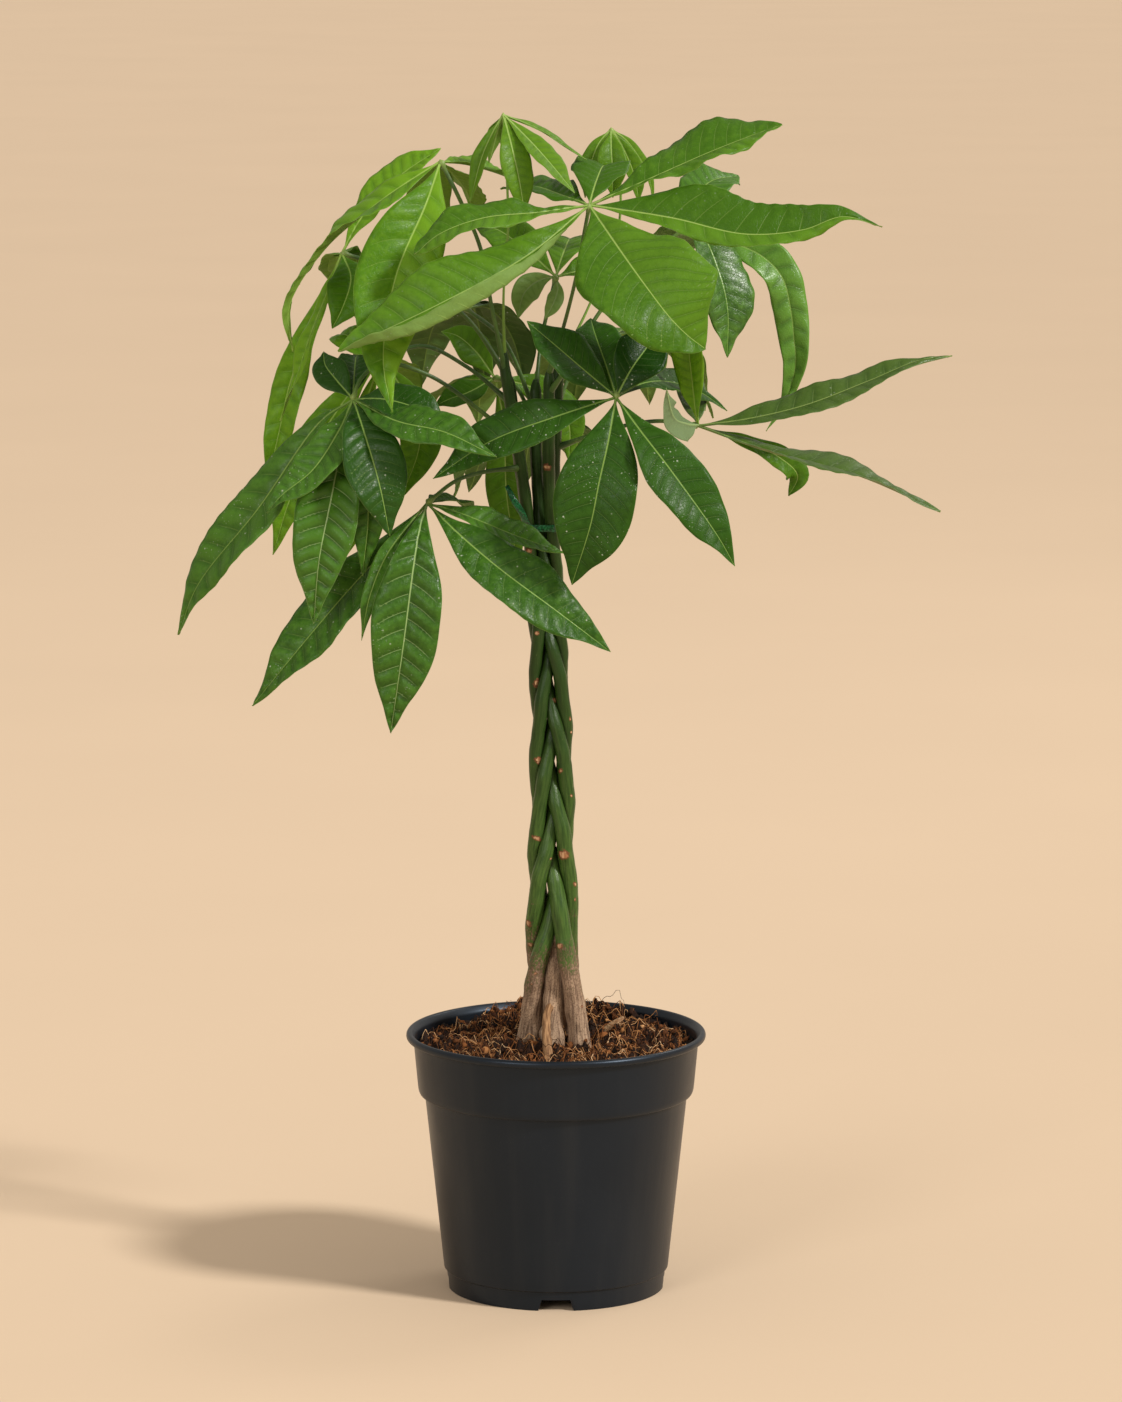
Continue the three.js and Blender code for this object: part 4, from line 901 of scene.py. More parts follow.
def makeSplinter():
    # ridges run along it, it is flatter one way than the other, and its free end is frayed
    shares = np.linspace(0, 1, splinter["rows"])
    centre = alongCurve(smoothCurve(seen(splinter["points"])), shares)
    radius = (splinter["thick"] + (splinter["thin"] - splinter["thick"]) * shares ** 2)[:, None]
    angle, _ = circle(splinter["sides"])
    ridges = 0.35 * np.sin(7 * angle + 2 * np.sin(3 * shares[:, None])) + 0.25 * np.sin(12 * angle + 1)
    flat = 1 - 0.3 * np.cos(2 * angle + 0.6)
    rings = tubeRings(centre, mm * (radius * flat * 0.9 + ridges * np.minimum(1, radius)), splinter["sides"])
    rows = splinter["frayed"]
    frays = mm * splinter["frays"] * np.abs(np.sin(5.5 * angle + 1)) * np.linspace(0, 1, rows)[:, None]
    rings[-rows:] += frays[..., None] * unit(centre[-1] - centre[-6])
    paint = Paint("dryWood")
    grain = paint.noise(420, 5, stretch=(0.35, 1, 1.6))
    colour = blend(grain.remap(0.35, 0.66), *splinter["grain"])
    colour = blend(paint.noise(150, 3).remap(0.45, 0.7, 0, 0.6), colour, splinter["stain"])
    paint.finish(colour, 0.85)
    paint.bump(grain, 0.6, 0.0008)
    build = Build("woodSplinter")
    build.add(rings)
    build.finished([paint.material], "bark_chip")


makeSplinter()
print("splinter")


# twist tie round the plait

tieSet = {
    "height": 538, "band": 5, "clear": 0.85, "sides": 140, "section": 14,
    "tail": [(-20, 541, 9), (-24, 549, 11), (-29, 557, 12), (-34, 567, 12)], "tailRows": 44,
    "tailWidth": 4.6, "tailThick": 0.72,
    # the tail's section, with a wire in each face: shares of half its width and of half its thickness
    "across": [-1, -0.9, -0.35, 0, 0.35, 0.9, 1, 0.9, 0.35, 0, -0.35, -0.9],
    "deep": [0, 1, 0.55, 1.25, 0.55, 1, 0, -1, -0.55, -1.25, -0.55, -1],
    "green": ((0.003, 0.045, 0.014), (0.010, 0.17, 0.055)),
}


def tieBand():
    # a flat section carried round the outline of the bundle, a little crumpled: points and faces
    angle, way = circle(tieSet["sides"])
    spots = np.array([trunkSpots(name, tieSet["height"])[:2] for name in trunkNames])
    outer = spots[np.argmax(spots @ way.T, axis=0)]
    path = outer + way * (trunkThick(tieSet["height"]) + tieSet["clear"])
    path = np.stack([rounded(path[:, k], 15, "wrap") for k in (0, 1)], axis=1)
    _, section = circle(tieSet["section"])
    out, up = (np.sign(section[:, k]) * np.abs(section[:, k]) ** 0.6 * half
               for k, half in ((0, 0.42), (1, tieSet["band"] / 2)))
    crumple = 0.28 * np.sin(angle * 11 + 0.8) * np.cos(up[:, None] * 0.9 + angle * 3)
    x, y = (path[:, k] + (out[:, None] + crumple) * way[:, k] for k in (0, 1))
    z = up[:, None] * (1 + 0.06 * np.sin(angle * 9)) + 0.35 * np.sin(angle * 3 + 1) + tieSet["height"]
    # each face goes from a spot to the next one along, to the next one round, and back
    spot = np.arange(x.size).reshape(x.shape)
    beside, below = np.roll(spot, -1, axis=1), np.roll(spot, -1, axis=0)
    quads = stacked(spot, beside, np.roll(beside, -1, axis=0), below).reshape(-1, 4)
    points = mm * stacked(x, y, z).reshape(-1, 3)
    return points, quads if outward(points - points.mean(axis=0), quads) else quads[:, ::-1]


def makeTie():
    # a ring has no ends, so the band is put into the mesh as it is; the tail is a flat strip that twists
    points, quads = tieBand()
    build = Build("twistTie")
    build.points, build.size = [points], len(points)
    build.faces, build.finish = quads.tolist(), [0] * len(quads)
    shares = np.linspace(0, 1, tieSet["tailRows"])
    middle = (trunkSpots("left", tieSet["height"]) + trunkSpots("rear_right", tieSet["height"])) / 2
    centre = alongCurve(smoothCurve([(middle + (-4, -9, 0)) * mm, *seen(tieSet["tail"])]), shares)
    turn = 0.5 + shares * 2.2
    flat = unit(stacked(np.cos(turn), np.sin(turn), 0.25))
    across = unit(np.cross(np.gradient(centre, axis=0), flat))
    wide = np.array(tieSet["across"]) * tieSet["tailWidth"] / 2 * mm
    deep = np.array(tieSet["deep"]) * tieSet["tailThick"] / 2 * mm
    build.add(centre[:, None] + across[:, None] * wide[:, None] + flat[:, None] * deep[:, None])
    paint = Paint("greenTie")
    shine = paint.noise(700, 3)
    paint.finish(blend(shine.remap(0.35, 0.7), *tieSet["green"]), shine.remap(0.3, 0.7, 0.12, 0.3))
    paint.bump(shine, 0.35, 0.0006)
    build.finished([paint.material], "twist_tie")


makeTie()
print("twist tie")


# leaves

bladeSet = {
    "thick": 0.5, "fold": 12, "widest": 0.53, "stalk": 0.95, "columns": 19, "rolledColumns": 35,
    "rowStep": 1.7, "rows": (24, 120), "wobble": 0.028, "seed": 500,
    "veinSlope": 0.36, "veinCurve": 0.012, "veinSpacing": 8.6,
    # how high the bulges between veins are, and how high and wide the groove, the rib and the veins
    "bulge": 1.7, "groove": (0.22, 0.7), "rib": (0.95, 1.05), "vein": (0.10, 0.07),
}
petioleSet = {"thick": 2, "thin": 0.65, "foot": 0.5, "hub": 1.15, "dome": 2.2, "sides": 14, "rowStep": 2.2,
              "green": ((0.030, 0.080, 0.012), (0.070, 0.150, 0.020)), "young": (0.20, 0.37, 0.05),
              "streak": (0.17, 0.21, 0.06), "joint": (0.30, 0.42, 0.10)}
# colours of each kind of leaf: upper face, deep and fresh, underside, ribs, light that comes through
leafLooks = {
    "mature": {
        "deep": (0.019, 0.074, 0.005), "fresh": (0.070, 0.188, 0.015), "under": (0.12, 0.22, 0.05),
        "rib": (0.25, 0.40, 0.09), "glow": (0.07, 0.24, 0.008), "through": 0.10, "dust": 0.8, "gloss": 0.28},
    # ribbed: the pale vein lines are the veins' own colour and, drawn stronger here, also a painted
    # highlight along the raised vein edges
    "ribbed": {
        "deep": (0.017, 0.066, 0.004), "fresh": (0.064, 0.178, 0.015), "under": (0.12, 0.22, 0.05),
        "rib": (0.34, 0.50, 0.19), "glow": (0.07, 0.24, 0.008), "through": 0.10, "dust": 0.5, "gloss": 0.3,
        "veins": 0.5},
    # dark: the deep green of old leaves; on the fans at the back of the crown it is also painted shade
    "dark": {
        "deep": (0.010, 0.044, 0.0028), "fresh": (0.032, 0.100, 0.008), "under": (0.10, 0.185, 0.045),
        "rib": (0.22, 0.36, 0.08), "glow": (0.07, 0.24, 0.008), "through": 0.10, "dust": 0.9, "gloss": 0.18},
    "glossy": {
        "deep": (0.026, 0.095, 0.006), "fresh": (0.125, 0.31, 0.030), "under": (0.14, 0.26, 0.05),
        "rib": (0.24, 0.42, 0.08), "glow": (0.10, 0.33, 0.010), "through": 0.14, "dust": 0.12, "gloss": 0.6},
    "summer": {
        "deep": (0.052, 0.145, 0.007), "fresh": (0.112, 0.255, 0.015), "under": (0.19, 0.32, 0.07),
        "rib": (0.36, 0.52, 0.13), "glow": (0.19, 0.46, 0.010), "through": 0.18, "dust": 0.18, "gloss": 0.2},
    "pale": {
        "deep": (0.13, 0.25, 0.05), "fresh": (0.25, 0.40, 0.11), "under": (0.30, 0.42, 0.20),
        "rib": (0.38, 0.52, 0.22), "glow": (0.26, 0.50, 0.05), "through": 0.3, "dust": 0, "gloss": 0.3},
    "olive": {
        "deep": (0.030, 0.075, 0.008), "fresh": (0.070, 0.135, 0.018), "under": (0.15, 0.215, 0.06),
        "rib": (0.26, 0.36, 0.10), "glow": (0.11, 0.27, 0.010), "through": 0.12, "dust": 0.3, "gloss": 0.4},
    "fresh": {
        "deep": (0.074, 0.205, 0.008), "fresh": (0.170, 0.360, 0.016), "under": (0.21, 0.37, 0.05),
        "rib": (0.38, 0.58, 0.12), "glow": (0.26, 0.56, 0.010), "through": 0.22,
        "dust": 0.08, "gloss": 0.22},
    "young": {
        "deep": (0.060, 0.160, 0.007), "fresh": (0.130, 0.275, 0.014), "under": (0.20, 0.36, 0.05),
        "rib": (0.40, 0.58, 0.16), "glow": (0.26, 0.54, 0.015), "through": 0.24, "dust": 0, "gloss": 0.2},
}
waterSpots = (0.50, 0.56, 0.44)


def leafSkin(name, look):
    # upper and lower faces have their own colours; thin lines lie along the side veins, rib and margin
    paint = Paint(name + "Leaf")
    phase, ribAway, edge = paint.attribute("vein").parts()
    share, tone, under = paint.attribute("blade").parts()
    cloud = paint.noise(38)
    fine = paint.noise(260)
    # side veins lie where the phase is whole; both they and the rib thin out
    fromVein = phase.maths("PINGPONG", 0.5)
    veinLine = fromVein.remap(0.008, 0.040, 1, 0) * edge.remap(1.5, 9)
    soft = fromVein.remap(0.0, 0.30, 1, 0) * edge.remap(0.5, 5)
    ribLine = ribAway.maths("DIVIDE", 1.15 - share * 0.85).remap(0.38, 0.85, 1, 0)
    netLine = paint.cells(420, "DISTANCE_TO_EDGE").remap(0.0, 0.10, 1, 0)
    amount = tone * 0.55 + cloud * 0.62 + (fine - 0.5) * 0.8
    upper = blend(amount.remap(0.12, 0.85), look["deep"], look["fresh"])
    # painted shade along the sunk side veins, where the quilted blade dips
    upper = blend(soft * 0.52, upper, look["deep"])
    upper = blend(netLine * 0.12, upper, look["fresh"])
    # pale vein lines in the rib colour; where a look raises their strength they are also a painted highlight
    upper = blend(veinLine * look.get("veins", 0.22), upper, look["rib"])
    lower = blend(amount.remap(0.1, 0.9), shaded(look["under"], 0.75), look["under"])
    lower = blend(netLine * 0.2, lower, shaded(look["under"], 0.7))
    lower = blend(veinLine * 0.4, lower, look["rib"])
    colour = blend(under, upper, lower)
    colour = blend(ribLine * 0.9, colour, look["rib"])
    # pale water spots and dust, in patches
    large = paint.cells(170).remap(0.05, 0.14, 1, 0) * cloud.remap(0.43, 0.57)
    small = paint.cells(460).remap(0.06, 0.22, 0.7, 0) * cloud.remap(0.5, 0.66)
    dusty = (large + small).maths("MULTIPLY", look["dust"], clamp=True)
    colour = blend(dusty, colour, waterSpots)
    colour = blend(edge.remap(0.0, 0.5, 0.35, 0), colour, look["rib"])
    paint.finish(colour, (fine + under * 0.5).remap(0.3, 1.1, 0.30, 0.60), look["gloss"])
    paint.feed("IOR", 1.45)
    # veins are sunk on the upper face and stand out below
    ridge = veinLine * (under * 2 - 1)
    normal = paint.bump(fine * 0.6 + netLine * -0.25 + ridge * 0.8, 0.42, 0.0006)
    glow = blend(ribLine * 0.5, look["glow"], look["deep"])
    through = paint.pattern("BsdfTranslucent", {"Color": glow, "Normal": normal})
    both = paint.pattern("MixShader", {0: look["through"], 1: Signal(paint.shader.outputs[0]), 2: through})
    paint.tree.links.new(both.socket, paint.tree.nodes["Material Output"].inputs["Surface"])
    return paint.material


def stalkSkin():
    # green in clouds with brown streaks, paler when young and at the hub
    paint = Paint("leafStalk")
    streak = paint.noise(320)
    kind, near, _ = paint.attribute("stalk").parts()
    colour = blend(paint.noise(45, 3).remap(0.35, 0.65), *petioleSet["green"])
    colour = blend(kind, colour, petioleSet["young"])
    colour = blend(streak.remap(0.55, 0.75, 0, 0.4), colour, petioleSet["streak"])
    colour = blend(near * 0.7, colour, petioleSet["joint"])
    paint.finish(colour, 0.45)
    paint.bump(streak, 0.3, 0.0005)
    return paint.material


def turned(vectors, axes, angles):
    # vectors turned about unit axes
    cos, sin = np.cos(angles)[:, None], np.sin(angles)[:, None]
    along = (vectors * axes).sum(axis=1, keepdims=True) * axes
    return vectors * cos + np.cross(axes, vectors) * sin + along * (1 - cos)


def halfWidth(leaflet, share, sideways):
    # a quarter sine wave up to the widest place and a quarter cosine from there, drawn in before the tip
    widest = leaflet.get("widest", bladeSet["widest"]) - leaflet.get("slant", 0) * sideways
    rise = np.sin(np.clip(share / widest, 0, 1) * math.pi / 2) ** 1.5
    fall = np.cos(np.clip((share - widest) / (1 - widest), 0, 1) * math.pi / 2) ** leaflet.get("blunt", 0.95)
    swell = np.where(share < widest, rise, fall) * (1 - 0.16 * bell((share - 0.9) / 0.07))
    half = np.maximum(swell * leaflet["width"] / 2, bladeSet["stalk"] * (1 - 0.75 * share))
    return half * (1 + leaflet.get("uneven", 0) * sideways)


def bladeFrame(curve, share, leaflet):
    # points along the rib, and at each the way to a margin and the way out of the upper face
    centre = alongCurve(curve, share)
    tangent = unit(np.gradient(centre, axis=0))
    faces = np.broadcast_to(np.array(leaflet["faces"], float), tangent.shape)
    normal = turned(faces, tangent, np.radians(leaflet.get("twist", 0)) * share)
    normal = unit(normal - (normal * tangent).sum(axis=1, keepdims=True) * tangent)
    return centre, np.cross(tangent, normal), normal


def marginWaves(leaf, length, s, t, half, rng):
    # long waves that grow towards either margin, and a ruffle of short ones along its edge
    size = leaf.get("wave", 1.2) * min(1.2, length / 120)
    bends, start = rng.uniform(2.2, 3.6, 2), rng.uniform(0, fullTurn, 2)
    left, right = (np.sin(s * bends[k] * fullTurn + start[k]) for k in (0, 1))
    waves = size * np.where(t < 0, left, right) * np.abs(t) ** 2.1 * smoothStep(s, 0.03, 0.3)
    waves = waves * (1 - 0.6 * smoothStep(s, 0.85, 1))
    turns, starts = rng.uniform(3, 5.5, 4) * length / 110, rng.uniform(0, fullTurn, 4)
    ways = [np.sin(s * a * fullTurn + b) for a, b in zip(turns, starts)]
    ruffle = np.where(t < 0, ways[0] * ways[1], ways[2] * ways[3]) * 1.3
    return waves + (leaf.get("ruffle", 0.5) * ruffle * np.abs(t) ** 5 * smoothStep(s, 0.1, 0.4)
                    * smoothStep(half, 3, 12))


def bothFaces(values, shape):
    # the upper face's values, and again for the underside, whose columns run back
    upper = np.broadcast_to(values, shape)
    return np.concatenate([upper, upper[:, ::-1]], axis=1)


def addBlade(build, spots, leaf, leaflet, rng, finish):
    # a blade: columns from margin to margin on the upper face and back on the underside, row by row
    # along a curved rib; its height is a V fold, bulges between the veins and waves along the margins
    curve = smoothCurve(spots)
    length = curve[1][-1] / mm
    share = np.linspace(0, 1, int(np.clip(length / bladeSet["rowStep"], *bladeSet["rows"]))) ** 1.04
    centre, side, normal = bladeFrame(curve, share, leaflet)
    columns = np.linspace(-1, 1, bladeSet["rolledColumns" if "rolled" in leaflet else "columns"])
    # s runs along the rib from 0 to 1, t across from margin to margin, x in millimetres from the rib
    s, t = share[:, None], (np.sign(columns) * np.abs(columns) ** 1.35)[None]
    half = halfWidth(leaflet, s, 0)
    left, right = (1 + bladeSet["wobble"] * np.sin(s * rng.uniform(14, 22) + rng.uniform(0, 6))
                   for _ in (0, 1))
    wide = np.where(t < 0, halfWidth(leaflet, s, -1), halfWidth(leaflet, s, 1))
    x = t * wide * np.where(t < 0, left, right)
    away, edge = np.abs(x), wide - np.abs(t) * wide
    # the phase grows by one from a side vein to the next, and lags towards the margins
    spacing = max(bladeSet["veinSpacing"] * length / 120, 5.5) * rng.uniform(0.92, 1.08)
    phase = (s * length - bladeSet["veinSlope"] * away - bladeSet["veinCurve"] * away ** 2) / spacing
    phase = phase + 0.45 * (t > 0) + 0.06 * np.sin(phase * 2.1 + rng.uniform(0, 6)) + 20
    inside = smoothStep(np.abs(t), 0.03, 0.22) * (1 - smoothStep(np.abs(t), 0.72, 1.0))
    inside = inside * smoothStep(s, 0.04, 0.2)
    quilt = leaflet.get("quilt", leaf.get("quilt", 0.5))
    bulge = bladeSet["bulge"] * quilt * (np.abs(np.sin(math.pi * phase)) ** 0.8 - 0.5) * inside
    bulge = bulge * min(1, half.max() / 16)
    fold = math.tan(math.radians(leaflet.get("fold", bladeSet["fold"])))
    lift = fold * half * (1.4 * np.abs(t) - 0.6 * t ** 2)
    body = lift + bulge + marginWaves(leaf, length, s, t, half, rng)
    if "rolled" in leaflet:  # one margin is turned over: sign of its side, its share of the half width
        hand, strip = leaflet["rolled"]
        over = np.clip(hand * t - (1 - strip), 0, 1) * half * smoothStep(s, 0.05, 0.25)
        x = x - hand * over * 1.75
        body = body + 0.55 * over + 0.8 * smoothStep(over, 0, 1.5)
    thin = bladeSet["thick"] * (0.32 + 0.68 * (1 - np.abs(t) ** 4)) / 2 * np.minimum(1, 0.3 + 8 * (1 - s))
    (grooveDeep, grooveWide), (ribHigh, ribWide), (veinHigh, veinWide) = (
        bladeSet[key] for key in ("groove", "rib", "vein"))
    groove = grooveDeep * bell(x / grooveWide) * smoothStep(half, 1.5, 5)
    ridge = ribHigh * (1 - 0.8 * s) * bell(x / (ribWide - 0.5 * s))
    ridge = ridge + veinHigh * bell((phase - np.round(phase)) / veinWide) * inside
    # both faces lie square to the blade's own section
    slopeX, slopeZ = np.gradient(x, axis=1), np.gradient(body, axis=1)
    steep = np.hypot(slopeX, slopeZ)
    faces = []
    for height in (thin - groove, -thin - ridge):
        out, rise = x - height * slopeZ / steep, body + height * slopeX / steep
        out, rise = side[:, None] * (mm * out)[..., None], normal[:, None] * (mm * rise)[..., None]
        faces.append(centre[:, None] + out + rise)
    rings = np.concatenate([faces[0], faces[1][:, ::-1]], axis=1)
    # halves makes one half of a folded blade lighter and the other darker: painted light and shade of the
    # fold
    tone = leaflet.get("tone", rng.uniform(0.15, 0.95)) + leaflet.get("halves", 0) * np.sign(t)
    under = np.concatenate([np.zeros(x.shape), np.ones(x.shape)], axis=1)
    build.add(rings, finish, vein=stacked(*(bothFaces(values, x.shape) for values in (phase, away, edge))),
              blade=stacked(bothFaces(s, x.shape), bothFaces(tone, x.shape), under))


def addStalk(build, leaf):
    # the petiole swells where it leaves the trunk and at the hub, which closes it with a dome
    thin = leaf.get("thin", 1)
    spots = np.array([trunkSpots(leaf["stem"], leaf["at"]) * mm, *seen(leaf["via"]), seen(leaf["hub"])])
    length = smoothCurve(spots)[1][-1] / mm
    shares = np.linspace(0, 1, int(length / petioleSet["rowStep"]))
    end = unit(spots[-1] - spots[-2]) * 1.6 * mm
    centre = alongCurve(smoothCurve([*spots[:-1], spots[-1] + end * 0.9]), shares)
    toEnd = (1 - shares) * length
    radius = (thin * (petioleSet["thick"] - petioleSet["thin"] * np.minimum(1, shares * 4))
              + petioleSet["foot"] * thin * bell((shares * length - 5) / 6)
              + petioleSet["hub"] * thin * bell((toEnd - 2.2) / 3.2))
    dome = np.sqrt(1 - np.clip(1 - toEnd / petioleSet["dome"], 0, 0.999) ** 2)
    angle, _ = circle(petioleSet["sides"])
    groove = 1 - 0.05 * np.cos(2 * angle)[None] - 0.04 * np.cos(5 * angle + 4 * shares[:, None])
    rings = tubeRings(centre, mm * (radius * dome)[:, None] * groove, petioleSet["sides"])
    # how young the stalk is, and how near the hub
    build.add(rings, 1, stalk=stacked((1 - thin) * 2.2, bell(toEnd / 7), 0)[:, None])


def blade(width, faces, points, **rest):
    # one leaflet of the table below
    return {"width": width, "faces": faces, "points": points, **rest}


def fanned(leaf):
    # the leaflets of a leaf at the back, spread evenly round its hub and hanging
    fan, hub, made = leaf["fan"], seen(leaf["hub"]), []
    for aside in np.linspace(-0.5, 0.5, fan["count"]):
        bearing = math.radians(fan["heading"] + aside * fan["open"])
        way = np.array([math.cos(bearing), math.sin(bearing), 0])
        reach = fan["reach"] * (1 - 0.7 * abs(aside))
        line = [hub + mm * (way * reach * share - np.array([0, 0, fall * fan["droop"]]))
                for share, fall in ((0.35, 0.02), (0.72, 0.35), (0.95, 0.95))]
        faces = (way[0] * 0.6, way[1] * 0.6, 1)
        made.append({"width": fan["width"] * (1 - 0.5 * abs(aside)), "faces": faces, "line": line})
    return made


def makeLeaf(name, leaf, order, skins, stalk):
    # a leaf is its leaflets, each drawn from the hub through its own points, and its stalk
    rng = np.random.default_rng(bladeSet["seed"] + order)
    hub = seen(leaf["hub"])
    build = Build("leaf_" + name + "_blades")
    materials = [skins[leaf["look"]], stalk]
    for leaflet in fanned(leaf) if "fan" in leaf else leaf["leaflets"]:
        line = leaflet["line"] if "line" in leaflet else seen(leaflet["points"])
        skin = skins[leaflet.get("look", leaf["look"])]
        if skin not in materials:
            materials.append(skin)
        addBlade(build, np.concatenate([[hub], line]), leaf, leaflet, rng, materials.index(skin))
    addStalk(build, leaf)
    build.finished(materials, "leaf_" + name)


